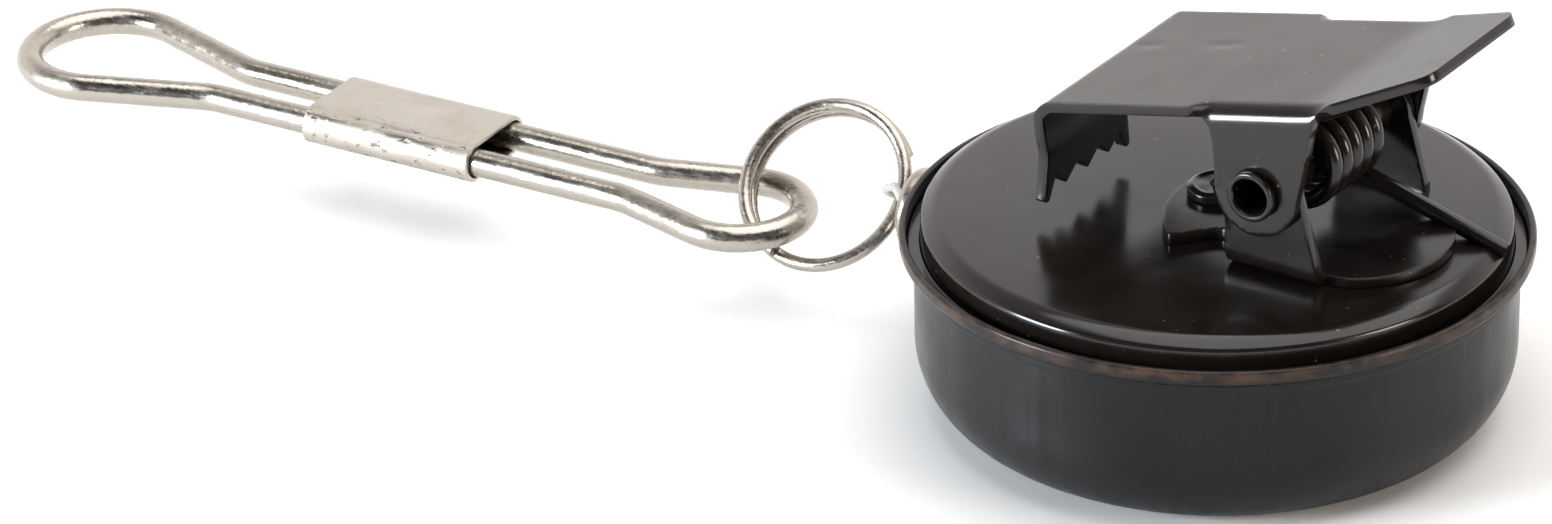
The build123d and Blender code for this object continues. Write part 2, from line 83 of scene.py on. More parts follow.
CUP_HIGH = node_box("case_cup")[1]
PLATE_LOW, PLATE_HIGH = node_box("back_plate")
FERRULE_LOW, FERRULE_HIGH = node_box("exit_ferrule")
CRIMP_LOW, CRIMP_HIGH = node_box("cord_crimp")
RIVET_HIGH = node_box("swivel_rivet")[1]
RING_LOW, RING_HIGH = node_box("split_ring")
SNAP_LOW, SNAP_HIGH = node_box("snap_wire")
SLEEVE_LOW, SLEEVE_HIGH = node_box("snap_sleeve")
WINDING_LOW, WINDING_HIGH = node_box("cord_winding")
MAINSPRING_LOW, MAINSPRING_HIGH = node_box("mainspring")
POST_HIGH = node_box("center_post")[1]

PLATE_TOP = PLATE_HIGH.z
EXIT_HEIGHT = (FERRULE_LOW.z + FERRULE_HIGH.z) / 2
EXIT_MOUTH = -FERRULE_LOW.x
CLIP_AXIS = Vector(JOINTS["clip_open"]["axis"])
CLIP_HEADING = math.atan2(-CLIP_AXIS.x, CLIP_AXIS.y)
CLIP_TURN = Matrix.Rotation(CLIP_HEADING, 4, "Z")
PIVOT = CLIP_TURN.inverted() @ (Vector(JOINTS["clip_open"]["pos_m"]) / MM)
GRIP = Vector(JOINTS["ring_swing"]["pos_m"]) / MM
GRIP_AXIS = Vector(JOINTS["ring_swing"]["axis"])


# ---- Settings -----------------------------------------------------------------------------------------


def length(label, value, text):
    """A length setting, given in millimetres and held in metres."""
    return FloatProperty(name=label, default=value * MM, description=text, unit="LENGTH", precision=5)


def colour(label, value, text):
    """A colour setting."""
    return FloatVectorProperty(
        name=label, default=value, description=text, subtype="COLOR", size=3, min=0, max=1
    )


def angle(label, degrees, text):
    """An angle setting, given in degrees."""
    return FloatProperty(name=label, default=math.radians(degrees), description=text, unit="ROTATION")


class StudioSettings(bpy.types.PropertyGroup):
    """Camera, floor and light."""

    azimuth: angle("Azimuth", 31.0, "Turn of the camera about the case")
    elevation: angle("Elevation", 27.05, "Height of the camera above the horizon, as an angle")
    roll: angle("Roll", -1.31, "Tilt of the camera about its own line of sight")
    distance: length("Distance", 350.0, "From the camera to the case, along the line of sight")
    aim_right: length("Aim right", 22.14, "How far the case stands to the right of the view's middle")
    aim_up: length("Aim up", 1.91, "How far the case's lip stands above the view's middle")
    lens: FloatProperty(name="Lens", default=161.65, description="Focal length in millimetres", min=10)
    floor_colour: colour("Floor", (0.93, 0.925, 0.915), "Colour of the floor")
    sky_strength: FloatProperty(
        name="Sky", default=1.25, description="Strength of the room behind the object"
    )
    sky_near: FloatProperty(
        name="Sky near", default=0.12, description="Strength of the room on the camera's side"
    )
    sky_top: FloatProperty(
        name="Sky top", default=0.3, description="Share of the light that is left overhead"
    )


class CaseSettings(bpy.types.PropertyGroup):
    """The cup, its lip, the back plate and the exit."""

    wall_radius: length("Wall radius", 15.25, "Outside radius of the cup's wall")
    wall: length("Wall", 0.5, "Thickness of the cup's wall")
    floor: length("Floor", 0.6, "Thickness of the cup's floor")
    corner_flat: length("Corner, flat", 3.6, "How far the corner reaches across the floor")
    corner_up: length("Corner, up", 4.0, "How far the corner reaches up the wall")
    lip_top: length("Lip top", 0.37, "Width of the lip's top")
    lip_band: length("Lip band", 0.65, "Height of the lip's upright band")
    lip_flare: length("Lip flare", 0.65, "Height over which the wall flares to the lip")
    lip_groove: length("Lip groove", 0.75, "Depth of the groove inside the lip")
    plate_sheet: length("Plate sheet", 0.5, "Thickness of the back plate")
    plate_edge: length("Plate edge", 14.9, "Radius of the back plate's upright edge")
    plate_shoulder: length("Plate shoulder", 0.7, "Width of the back plate's rounded shoulder")
    ferrule_bore: length("Ferrule bore", 0.8, "Radius of the hole that the cord leaves by")
    ferrule_neck: length("Ferrule neck", 1.5, "Radius of the ferrule where it passes the wall")


class ReelSettings(bpy.types.PropertyGroup):
    """The mainspring and the wound cord."""

    cord: length("Cord", 0.5, "Diameter of the cord")
    cord_turns: FloatProperty(name="Cord turns", default=8.2, description="Turns of cord on the drum", min=1)
    strip: length("Spring strip", 0.14, "Thickness of the mainspring's strip")
    spring_turns: FloatProperty(
        name="Spring turns", default=11.0, description="Turns of the mainspring", min=1
    )


class ClipSettings(bpy.types.PropertyGroup):
    """The clip's base, lever, pivot and spring."""

    sheet: length("Sheet", 0.55, "Thickness of the clip's sheet")
    width: length("Width", 12.6, "Width of the lever across its cheeks")
    jaw_x: length("Jaw", -6.75, "Place of the jaw's outer face along the clip")
    jaw_width: length("Jaw width", 8.0, "Width of the toothed jaw")
    jaw_rise: length("Jaw rise", 6.5, "Height of the lever's front corner over the back plate")
    jaw_gap: length("Jaw gap", 1.0, "Gap between the corner teeth and the back plate")
    front_bend: length("Front bend", 1.1, "Outside radius of the bend over the jaw")
    top_slope: angle("Top slope", 12.8, "Rise of the lever's top towards the tail")
    tail_slope: angle("Tail slope", 23.95, "Rise of the tail")
    tail_x: length("Tail", 14.3, "Place of the tail's end along the clip")
    tail_width: length("Tail width", 8.6, "Width of the tail's end")
    cheek_front: length("Cheek front", 3.35, "Where the cheeks start along the clip")
    cheek_rear: length("Cheek rear", 8.9, "Where the cheeks end along the clip")
    cheek_tip: length("Cheek tip", 2.3, "Radius of the cheeks round the pivot")
    cheek_bend: length("Cheek bend", 0.9, "Outside radius of the bend over the cheeks")
    tooth_pitch: length("Tooth pitch", 2.0, "Distance from tooth to tooth")
    tooth_depth: length("Tooth depth", 1.1, "Depth of the notches between the teeth")
    ear_plane: length("Ear plane", 5.65, "Distance of the ears' outer faces from the clip's middle")
    ear_bend: length("Ear bend", 0.85, "Outside radius of the bend under the ears")
    ear_front: length("Ear front", 3.9, "Where the ears start along the clip")
    ear_rear: length("Ear rear", 9.0, "Where the ears end along the clip")
    ear_tip: length("Ear tip", 2.1, "Radius of the ears round the pivot")
    tube: length("Pivot tube", 1.15, "Outside radius of the hollow pivot")
    tube_bore: length("Pivot bore", 0.95, "Radius of the pivot's hole")
    wire: length("Spring wire", 0.43, "Radius of the clip spring's wire")
    coil: length("Spring coil", 2.0, "Radius of the clip spring's coil, to the wire's middle")
    coil_pitch: length("Coil pitch", 1.0, "Distance from turn to turn of the coil")
    leg_end: length("Leg end", 14.6, "Place of the lower leg's end along the clip")
    leg_lift: length("Leg lift", 0.1, "Gap between the lower leg's end and the back plate")
    upper_leg: length("Upper leg", 6.0, "Length of the leg under the lever")
    upper_slope: angle("Upper leg slope", 31.0, "Rise of the leg under the lever")
    tube_reach: length("Pivot reach", 0.55, "How far the pivot stands out of the cheeks")
    rivet_head: length("Rivet head", 1.55, "Radius of the rivet's head")
    rivet_shank: length("Rivet shank", 1.1, "Radius of the rivet's shank")
    rivet_height: length("Rivet height", 0.6, "Height of the rivet's head")
    coil_turns: IntProperty(
        name="Coil turns", default=5, description="Whole turns of the clip spring", min=1
    )


class SnapSettings(bpy.types.PropertyGroup):
    """The cord's loop, the split ring, the snap and its sleeve."""

    loop_cord: length("Loop cord", 0.22, "Radius of the cord in its end loop")
    loop: length("Loop", 0.95, "Radius of the cord's loop round the ring")
    ring_wire: length("Ring wire", 0.73, "Diameter of the split ring's wire")
    ring_lean: angle("Ring lean", 45.0, "Lean of the split ring")
    ring_turns: FloatProperty(name="Ring turns", default=1.6, description="Turns of the split ring", min=1)
    ring_start: angle("Ring start", 38.0, "Where the split ring's wire starts")
    wire: length("Snap wire", 1.5, "Diameter of the snap's wire")
    small_loop: length("Small loop", 3.35, "Radius of the small loop, to the wire's middle")
    big_loop: length("Big loop", 4.3, "Radius of the big loop, to the wire's middle")
    strands: length("Strands", 3.59, "Distance between the two strands")
    small_taper: length("Small taper", 6.0, "From the small loop's middle to the strands")
    big_taper: length("Big taper", 8.2, "From the big loop's middle to the strands")
    bend: length("Bend", 4.0, "Radius of the bends where the loops open")
    end_gap: length("End gap", 0.6, "Gap between the wire's two ends")
    sleeve_sheet: length("Sleeve sheet", 0.3, "Thickness of the sleeve")


class FinishSettings(bpy.types.PropertyGroup):
    """Colours of the finishes."""

    lacquer: colour("Lacquer", (0.0045, 0.0045, 0.0055), "Black lacquer on the case")
    enamel: colour("Enamel", (0.008, 0.006, 0.005), "Black enamel on the back plate and clip")
    worn: colour("Worn edge", (0.06, 0.035, 0.022), "Brown metal where the lip is worn")
    nickel: colour("Nickel", (0.47, 0.43, 0.38), "Polished nickel plate")
    dull_nickel: colour("Dull nickel", (0.56, 0.515, 0.46), "Dull nickel plate on the sleeve")
    cord: colour("Cord", (0.62, 0.61, 0.58), "Clear grey cord")
    acetal: colour("Acetal", (0.80, 0.80, 0.77), "White plastic of the spool")
    steel: colour("Steel", (0.52, 0.52, 0.53), "Plain steel of the inner parts")
    spring: colour("Spring steel", (0.25, 0.27, 0.31), "Blued steel of the mainspring")


GROUPS = {
    "reel_studio": StudioSettings,
    "reel_case": CaseSettings,
    "reel_inside": ReelSettings,
    "reel_clip": ClipSettings,
    "reel_snap": SnapSettings,
    "reel_finish": FinishSettings,
}


class Sizes:
    """Reads a settings group, with its lengths in millimetres."""

    def __init__(self, name):
        self.group = getattr(bpy.context.scene, name)

    def __getattr__(self, key):
        value = getattr(self.group, key)
        is_length = self.group.bl_rna.properties[key].unit == "LENGTH"
        return value / MM if is_length else value


# ---- Materials ----------------------------------------------------------------------------------------


class Finish:
    """A material under construction: a Principled shader with patterns on Object coordinates."""

    def __init__(self, name, base, metallic=0.0, roughness=0.3):
        self.material = bpy.data.materials.new(name)
        self.material.use_nodes = True
        self.tree = self.material.node_tree
        self.shader = self.tree.nodes["Principled BSDF"]
        self.shader.inputs["Base Color"].default_value = (*base, 1)
        self.shader.inputs["Metallic"].default_value = metallic
        self.shader.inputs["Roughness"].default_value = roughness
        self.place = self.node("ShaderNodeTexCoord").outputs["Object"]

    def node(self, kind, **values):
        made = self.tree.nodes.new(kind)
        for key, value in values.items():
            setattr(made, key, value)
        return made

    def link(self, source, target):
        self.tree.links.new(source, target)

    def noise(self, grain, detail=3.0, stretch=(1, 1, 1), roughness=0.55):
        """Noise whose blotches are about grain millimetres across, stretched along the axes."""
        mapping = self.node("ShaderNodeMapping")
        mapping.inputs["Scale"].default_value = [1 / part for part in stretch]
        self.link(self.place, mapping.inputs["Vector"])
        noise = self.node("ShaderNodeTexNoise")
        noise.inputs["Scale"].default_value = 1 / (grain * MM)
        noise.inputs["Detail"].default_value = detail
        noise.inputs["Roughness"].default_value = roughness
        self.link(mapping.outputs["Vector"], noise.inputs["Vector"])
        return noise.outputs["Fac"]

    def ramp(self, source, low, high, start=0.0, end=1.0):
        """Maps a value from one range to another, smoothly, and holds it at the ends."""
        mapped = self.node("ShaderNodeMapRange", interpolation_type="SMOOTHSTEP")
        for socket, value in (("From Min", low), ("From Max", high), ("To Min", start), ("To Max", end)):
            mapped.inputs[socket].default_value = value
        self.link(source, mapped.inputs["Value"])
        return mapped.outputs["Result"]

    def math(self, operation, first, second):
        """Combines two values; either may be a socket or a number."""
        made = self.node("ShaderNodeMath", operation=operation)
        for socket, value in zip(made.inputs, (first, second)):
            if isinstance(value, (int, float)):
                socket.default_value = value
            else:
                self.link(value, socket)
        return made.outputs["Value"]

    def axis(self, name):
        """One Object coordinate, in metres."""
        parts = self.node("ShaderNodeSeparateXYZ")
        self.link(self.place, parts.inputs["Vector"])
        return parts.outputs[name]

    def radius(self):
        """Distance from the upright axis, in metres."""
        flat = self.node("ShaderNodeVectorMath", operation="MULTIPLY")
        flat.inputs[1].default_value = (1, 1, 0)
        self.link(self.place, flat.inputs[0])
        size = self.node("ShaderNodeVectorMath", operation="LENGTH")
        self.link(flat.outputs["Vector"], size.inputs[0])
        return size.outputs["Value"]

    def tint(self, mask, other):
        """Mixes another colour into the base colour by a mask."""
        mix = self.node("ShaderNodeMix", data_type="RGBA")
        base = self.shader.inputs["Base Color"]
        if base.is_linked:
            self.link(base.links[0].from_socket, mix.inputs["A"])
        else:
            mix.inputs["A"].default_value = base.default_value
        mix.inputs["B"].default_value = (*other, 1)
        self.link(mask, mix.inputs["Factor"])
        self.link(mix.outputs["Result"], base)

    def rough(self, source):
        self.link(source, self.shader.inputs["Roughness"])

    def bump(self, source, height, strength=1.0):
        """Adds relief; height is in millimetres."""
        bump = self.node("ShaderNodeBump")
        bump.inputs["Distance"].default_value = height * MM
        bump.inputs["Strength"].default_value = strength
        self.link(source, bump.inputs["Height"])
        normal = self.shader.inputs["Normal"]
        if normal.is_linked:
            self.link(normal.links[0].from_socket, bump.inputs["Normal"])
        self.link(bump.outputs["Normal"], normal)


FINISHES = {}


def finish_named(name):
    """The material of that name, made once."""
    if name not in FINISHES:
        FINISHES[name] = MAKERS[name](Sizes("reel_finish")).material
    return FINISHES[name]


def make_case_lacquer(colours):
    """Satin black lacquer with faint upright streaks, and brown worn metal along the lip."""
    made = Finish("case_lacquer", colours.lacquer, roughness=0.3)
    made.shader.inputs["Specular IOR Level"].default_value = 0.27
    made.shader.inputs["Anisotropic"].default_value = 0.7
    upright = made.node("ShaderNodeCombineXYZ")
    upright.inputs["Z"].default_value = 1.0
    made.link(upright.outputs["Vector"], made.shader.inputs["Tangent"])
    streaks = made.noise(0.9, 4.0, (1, 1, 22))
    blotches = made.noise(5.0, 3.0)
    streaked = made.ramp(streaks, 0.3, 0.75, 0.24, 0.33)
    made.rough(made.math("ADD", streaked, made.ramp(blotches, 0.35, 0.7, 0.0, 0.1)))
    made.bump(streaks, 0.0015)
    edge = made.ramp(made.radius(), (CUP_HIGH.x - 0.3) * MM, (CUP_HIGH.x - 0.04) * MM)
    high = made.ramp(made.axis("Z"), (CUP_HIGH.z - 0.8) * MM, (CUP_HIGH.z - 0.35) * MM)
    chipped = made.ramp(made.noise(1.6, 5.0, (1, 1, 0.6)), 0.4, 0.66, 0.1, 0.9)
    made.tint(made.math("MULTIPLY", made.math("MULTIPLY", edge, high), chipped), colours.worn)
    return made


def make_enamel(colours, name="enamel", smooth=0.13):
    """Glossy black enamel over pressed steel: faint ripple, tiny pinholes and specks of dust."""
    made = Finish(name, colours.enamel, roughness=smooth)
    cloud = made.noise(3.5, 4.0)
    made.rough(made.ramp(cloud, 0.3, 0.75, smooth, smooth + 0.11))
    made.bump(made.noise(1.1, 2.0), 0.002)
    pits = made.ramp(made.noise(0.5, 1.0), 0.79, 0.83)
    made.bump(pits, 0.02)
    dust = made.ramp(made.noise(0.33, 0.0), 0.84, 0.87)
    made.tint(dust, (0.10, 0.09, 0.08))
    return made


def make_clip_enamel(colours):
    """The clip's enamel, a little softer than the plate's."""
    return make_enamel(colours, "clip_enamel", 0.16)


def make_nickel(colours, name="nickel", scratch=0.03):
    """Polished nickel wire, with fine drawing lines and a slight haze."""
    made = Finish(name, colours.nickel, 1.0, 0.12)
    haze = made.noise(2.2, 4.0)
    fine = made.noise(0.18, 3.0, (9, 1, 1))
    made.rough(made.math("ADD", made.ramp(haze, 0.3, 0.75, 0.17, 0.3), made.ramp(fine, 0.35, 0.7, 0.0, 0.1)))
    made.bump(fine, 0.004)
    stains = made.ramp(made.noise(1.3, 5.0), 0.62, 0.78, 0.0, 0.55)
    made.tint(stains, (0.24, 0.20, 0.16))
    made.bump(made.noise(0.5, 2.0), scratch)
    return made


def make_bright_nickel(colours):
    """The ferrule's bright plate."""
    return make_nickel(colours, "bright_nickel", 0.01)


def make_sleeve_nickel(colours):
    """Dull plate rubbed lengthways, with dark pits and scratches along the sleeve's near bend."""
    made = Finish("sleeve_nickel", colours.dull_nickel, 1.0, 0.36)
    rubbed = made.noise(0.22, 4.0, (14, 1, 1))
    cloud = made.noise(2.4, 4.0)
    lined = made.ramp(rubbed, 0.3, 0.7, 0.24, 0.42)
    made.rough(made.math("ADD", lined, made.ramp(cloud, 0.35, 0.7, 0.0, 0.12)))
    made.bump(rubbed, 0.008)
    near = (SLEEVE_LOW.y + 0.9) * MM
    bend = made.ramp(made.axis("Y"), near + 0.7 * MM, near - 0.2 * MM)
    pits = made.ramp(made.noise(0.42, 6.0, (1.6, 1, 1), 0.7), 0.55, 0.64)
    made.tint(made.math("MULTIPLY", pits, made.math("MULTIPLY", bend, 0.85)), (0.07, 0.05, 0.04))
    tarnish = made.ramp(cloud, 0.52, 0.72, 0.0, 0.4)
    made.tint(tarnish, (0.42, 0.36, 0.29))
    made.bump(pits, 0.012)
    return made


def make_cord(colours):
    """Clear grey cord, glossy, with a fine lay."""
    made = Finish("clear_cord", colours.cord, roughness=0.15)
    made.shader.inputs["Transmission Weight"].default_value = 0.35
    lay = made.noise(0.16, 2.0, (1, 1, 1))
    made.rough(made.ramp(lay, 0.3, 0.7, 0.1, 0.3))
    made.bump(lay, 0.012)
    return made


def make_acetal(colours):
    """White moulded plastic, satin, with a faint flow pattern."""
    made = Finish("white_acetal", colours.acetal, roughness=0.42)
    made.rough(made.ramp(made.noise(2.5, 3.0), 0.3, 0.7, 0.36, 0.5))
    made.bump(made.noise(0.2, 2.0), 0.004)
    return made


def make_steel(colours):
    """Plain steel with a turned grain."""
    made = Finish("inner_steel", colours.steel, 1.0, 0.34)
    grain = made.noise(0.14, 3.0, (1, 1, 8))
    made.rough(made.ramp(grain, 0.3, 0.7, 0.26, 0.44))
    made.bump(grain, 0.004)
    return made


def make_spring_steel(colours):
    """Blued strip steel."""
    made = Finish("spring_steel", colours.spring, 1.0, 0.26)
    cloud = made.noise(1.8, 3.0, (1, 1, 6))
    made.rough(made.ramp(cloud, 0.3, 0.7, 0.18, 0.36))
    made.tint(made.ramp(cloud, 0.45, 0.7, 0.0, 0.5), (0.2, 0.16, 0.12))
    return made


MAKERS = {
    "case_lacquer": make_case_lacquer,
    "enamel": make_enamel,
    "clip_enamel": make_clip_enamel,
    "nickel": make_nickel,
    "bright_nickel": make_bright_nickel,
    "sleeve_nickel": make_sleeve_nickel,
    "clear_cord": make_cord,
    "white_acetal": make_acetal,
    "inner_steel": make_steel,
    "spring_steel": make_spring_steel,
}


# ---- Outlines -----------------------------------------------------------------------------------------


def rounded(corners, closed=True, steps=8):
    """Turns (x, y, radius) corners into points, with an arc of that radius at each corner that has one."""
    points = []
    count = len(corners)
    for i, (x, y, radius) in enumerate(corners):
        here = Vector((x, y))
        if radius <= 0 or (not closed and i in (0, count - 1)):
            points.append(here)
            continue
        back = Vector(corners[i - 1][:2]) - here
        ahead = Vector(corners[(i + 1) % count][:2]) - here
        turn = math.pi - back.angle(ahead)
        reach = radius * math.tan(turn / 2)
        reach = min(reach, 0.49 * back.length, 0.49 * ahead.length)
        radius = reach / math.tan(turn / 2)
        start, end = here + back.normalized() * reach, here + ahead.normalized() * reach
        centre = here + (back.normalized() + ahead.normalized()).normalized() * math.hypot(reach, radius)
        sweep = (start - centre).angle_signed(end - centre)
        parts = max(2, math.ceil(steps * abs(sweep) / (math.pi / 2)))
        for k in range(parts + 1):
            points.append(centre + Matrix.Rotation(-sweep * k / parts, 2) @ (start - centre))
    return points


def arc_points(centre, radius, start, end, steps):
    """Points of an arc between two angles in degrees, both ends included."""
    angles = [math.radians(start + (end - start) * k / steps) for k in range(steps + 1)]
    return [Vector((centre[0] + radius * math.cos(a), centre[1] + radius * math.sin(a))) for a in angles]


class Spine:
    """A bent line in the clip's upright plane, walked by its length."""

    def __init__(self, corners):
        self.points = rounded(corners, closed=False, steps=24)
        self.lengths = [0.0]
        for a, b in zip(self.points, self.points[1:]):
            self.lengths.append(self.lengths[-1] + (b - a).length)

    def at(self, s):
        """Point and direction at a length; past the ends the line runs on straight."""
        i = min(max(int(np.searchsorted(self.lengths, s)) - 1, 0), len(self.points) - 2)
        along = self.points[i + 1] - self.points[i]
        direction = along.normalized()
        return self.points[i] + direction * (s - self.lengths[i]), direction

    def length_at(self, x):
        """The length at which the line reaches an x, looked up from its far end."""
        for i in range(len(self.points) - 2, -1, -1):
            a, b = self.points[i], self.points[i + 1]
            if a.x <= x:
                return self.lengths[i] + (x - a.x) / (b.x - a.x) * (b - a).length
        return 0.0


# ---- Meshes -------------------------------------------------------------------------------------------


def new_object(name, mesh):
    made = bpy.data.objects.new(name, mesh)
    bpy.context.scene.collection.objects.link(made)
    return made


def mesh_of(name, vertices, faces):
    mesh = bpy.data.meshes.new(name)
    mesh.from_pydata([tuple(v) for v in vertices], [], faces)
    return mesh


def clean(mesh, sharp=35.0):
    """Merges doubles, turns the faces outward and shades smooth but for sharp edges."""
    work = bmesh.new()
    work.from_mesh(mesh)
    bmesh.ops.remove_doubles(work, verts=work.verts, dist=1e-5)
    bmesh.ops.recalc_face_normals(work, faces=work.faces)
    for face in work.faces:
        face.smooth = True
    work.to_mesh(mesh)
    work.free()
    mesh.set_sharp_from_angle(angle=math.radians(sharp))


def settle(piece):
    """Replaces the object's mesh by its evaluated one and drops its modifiers."""
    depsgraph = bpy.context.evaluated_depsgraph_get()
    mesh = bpy.data.meshes.new_from_object(piece.evaluated_get(depsgraph))
    piece.modifiers.clear()
    if piece.type == "CURVE":
        name = piece.name
        bpy.data.objects.remove(piece)
        piece = new_object(name, mesh)
    else:
        piece.data = mesh
    piece.data.name = piece.name
    return piece


def fit(piece, finish, slot, body, *nodes, turn=None, sharp=35.0):
    """Last step of a piece: place, scale, shade, give its finish, put it on its body when the body is a name
    (else leave it baked in place, on no body), and stand for its CAD nodes.
    """
    mesh = piece.data
    if turn is not None:
        mesh.transform(turn)
    clean(mesh, sharp)
    mesh.transform(Matrix.Scale(MM, 4))
    mesh.materials.clear()
    mesh.materials.append(finish_named(finish))
    for polygon in mesh.polygons:
        polygon.material_index = 0
    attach(piece, body) if isinstance(body, str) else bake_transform(piece)
    if nodes:
        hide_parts(*nodes)
    return piece


def keep(node, finish):
    """A CAD node that stays as it is and gets a finish."""
    piece = frame["nodes"][node]
    piece.data.materials.clear()
    piece.data.materials.append(finish_named(finish))


def lathe(name, outline, steps=192):
    """Turns a closed outline of (radius, z) points about Z."""
    vertices, rings = [], []
    for point in outline:
        if point[0] < 1e-6:
            rings.append([len(vertices)] * steps)
            vertices.append((0, 0, point[1]))
            continue
        rings.append(list(range(len(vertices), len(vertices) + steps)))
        for k in range(steps):
            a = 2 * math.pi * k / steps
            vertices.append((point[0] * math.cos(a), point[0] * math.sin(a), point[1]))
    faces = []
    for ring, after in zip(rings, rings[1:] + rings[:1]):
        for k in range(steps):
            n = (k + 1) % steps
            corners = list(dict.fromkeys((ring[k], ring[n], after[n], after[k])))
            if len(corners) > 2:
                faces.append(corners)
    return new_object(name, mesh_of(name, vertices, faces))


def bore(piece, start, end, radius):
    """Cuts a round hole through a piece."""
    start, end = Vector(start), Vector(end)
    work = bmesh.new()
    turn = (end - start).to_track_quat("Z", "Y").to_matrix().to_4x4()
    place = Matrix.Translation((start + end) / 2) @ turn
    length_along = (end - start).length
    bmesh.ops.create_cone(
        work, cap_ends=True, segments=48, radius1=radius, radius2=radius, depth=length_along, matrix=place
    )
    mesh = bpy.data.meshes.new("cutter")
    work.to_mesh(mesh)
    work.free()
    cutter = new_object("cutter", mesh)
    cut = piece.modifiers.new("bore", "BOOLEAN")
    cut.operation, cut.solver, cut.object = "DIFFERENCE", "EXACT", cutter
    piece = settle(piece)
    bpy.data.objects.remove(cutter)
    bpy.data.meshes.remove(mesh)
    return piece


def inside_outline(points, outline):
    """Which points lie inside a closed outline, and how far each is from it."""
    inside = np.zeros(len(points), bool)
    nearest = np.full(len(points), 1e9)
    for a, b in zip(outline, outline[1:] + outline[:1]):
        ax, ay, bx, by = a[0], a[1], b[0], b[1]
        if ay != by:
            crosses = (points[:, 1] < ay) != (points[:, 1] < by)
            inside ^= crosses & (points[:, 0] < (bx - ax) * (points[:, 1] - ay) / (by - ay) + ax)
        along = np.array([bx - ax, by - ay])
        size = along @ along
        if size > 0:
            t = np.clip(((points - [ax, ay]) @ along) / size, 0, 1)
            gaps = points - ([ax, ay] + t[:, None] * along)
            nearest = np.minimum(nearest, np.hypot(gaps[:, 0], gaps[:, 1]))
    return inside, nearest


def spaced(outline, step):
    """The outline with long sides divided, so that no side is much over a step."""
    points = []
    for a, b in zip(outline, outline[1:] + outline[:1]):
        parts = max(1, round((b - a).length / step))
        points += [a.lerp(b, k / parts) for k in range(parts)]
    return points


def bent_sheet(name, outline, holes, fold, thickness, outward, cell=0.22):
    """A pressed sheet: a flat blank with holes, filled with small triangles, folded and given its thickness.

    fold takes a blank point to its place; outward is 1 where the sheet lies above the folded face, else -1.
    """
    blank = spaced(outline, cell)
    loops = [blank]
    for centre, radius in holes:
        loops.append(arc_points(centre, radius, 0, 360, 32)[:-1])
    low = np.min([tuple(p) for p in blank], 0)
    high = np.max([tuple(p) for p in blank], 0)
    columns = np.arange(low[0] + cell / 2, high[0], cell)
    rows = np.arange(low[1] + cell / 2, high[1], cell * math.sqrt(3) / 2)
    grid = np.array([(x + (j % 2) * cell / 2, y) for j, y in enumerate(rows) for x in columns])
    inside, gap = inside_outline(grid, blank)
    chosen = inside & (gap > 0.45 * cell)
    for centre, radius in holes:
        chosen &= np.hypot(grid[:, 0] - centre[0], grid[:, 1] - centre[1]) > radius + 0.45 * cell
    points, edges = [], []
    for loop in loops:
        first = len(points)
        points += [Vector(p) for p in loop]
        edges += [(first + k, first + (k + 1) % len(loop)) for k in range(len(loop))]
    points += [Vector(p) for p in grid[chosen]]
    found, _, triangles, *_ = delaunay_2d_cdt(points, edges, [], 1, 1e-5)
    kept = []
    for triangle in triangles:
        middle = sum((found[k] for k in triangle), Vector((0, 0))) / 3
        if all((middle - Vector(centre)).length > radius for centre, radius in holes):
            kept.append(triangle)
    centres = np.array([tuple(sum((found[k] for k in t), Vector((0, 0))) / 3) for t in kept])
    inside, _ = inside_outline(centres, blank)
    kept = [triangle for triangle, good in zip(kept, inside) if good]
    piece = new_object(name, mesh_of(name, [fold(p.x, p.y) for p in found], kept))
    solid = piece.modifiers.new("sheet", "SOLIDIFY")
    solid.thickness, solid.offset = thickness, outward
    edge = piece.modifiers.new("edge", "BEVEL")
    edge.width, edge.segments, edge.limit_method = 0.09, 2, "ANGLE"
    edge.angle_limit = math.radians(55)
    return settle(piece)


# ---- Geometry node trees ------------------------------------------------------------------------------


def new_tree(name, inputs):
    """A geometry tree with a geometry input, the named inputs and a geometry output."""
    tree = bpy.data.node_groups.new(name, "GeometryNodeTree")
    tree.is_modifier = True
    tree.interface.new_socket(name="Geometry", in_out="INPUT", socket_type="NodeSocketGeometry")
    for label, kind, value in inputs:
        socket = tree.interface.new_socket(name=label, in_out="INPUT", socket_type=kind)
        if value is not None:
            socket.default_value = value
    tree.interface.new_socket(name="Geometry", in_out="OUTPUT", socket_type="NodeSocketGeometry")
    return tree, tree.nodes.new("NodeGroupInput"), tree.nodes.new("NodeGroupOutput")


def add_node(tree, kind, links=None, **values):
    """Adds a node; links maps an input's name or place to a source socket or a value."""
    node = tree.nodes.new(kind)
    for key, value in values.items():
        setattr(node, key, value)
    for key, source in (links or {}).items():
        socket = node.inputs[key]
        if isinstance(source, bpy.types.NodeSocket):
            tree.links.new(source, socket)
        else:
            socket.default_value = source
    return node


def close_tree(tree, source, given, out):
    """Ends a tree in smooth shading, Realize Instances and Set Material."""
    smooth = add_node(tree, "GeometryNodeSetShadeSmooth", {"Geometry": source})
    real = add_node(tree, "GeometryNodeRealizeInstances", {"Geometry": smooth.outputs[0]})
    painted = add_node(
        tree, "GeometryNodeSetMaterial", {"Geometry": real.outputs[0], "Material": given.outputs["Material"]}
    )
    tree.links.new(painted.outputs[0], out.inputs[0])
    return tree


def swept_wire_tree():
    """Sweeps a round wire along the object's own curve."""
    tree, given, out = new_tree(
        "swept_wire",
        [
            ("Wire Radius", "NodeSocketFloat", 0.5),
            ("Sides", "NodeSocketInt", 24),
            ("Material", "NodeSocketMaterial", None),
        ],
    )
    section = add_node(
        tree,
        "GeometryNodeCurvePrimitiveCircle",
        {"Resolution": given.outputs["Sides"], "Radius": given.outputs["Wire Radius"]},
    )
    wire = add_node(
        tree,
        "GeometryNodeCurveToMesh",
        {"Curve": given.outputs["Geometry"], "Profile Curve": section.outputs["Curve"], "Fill Caps": True},
    )
    return close_tree(tree, wire.outputs[0], given, out)


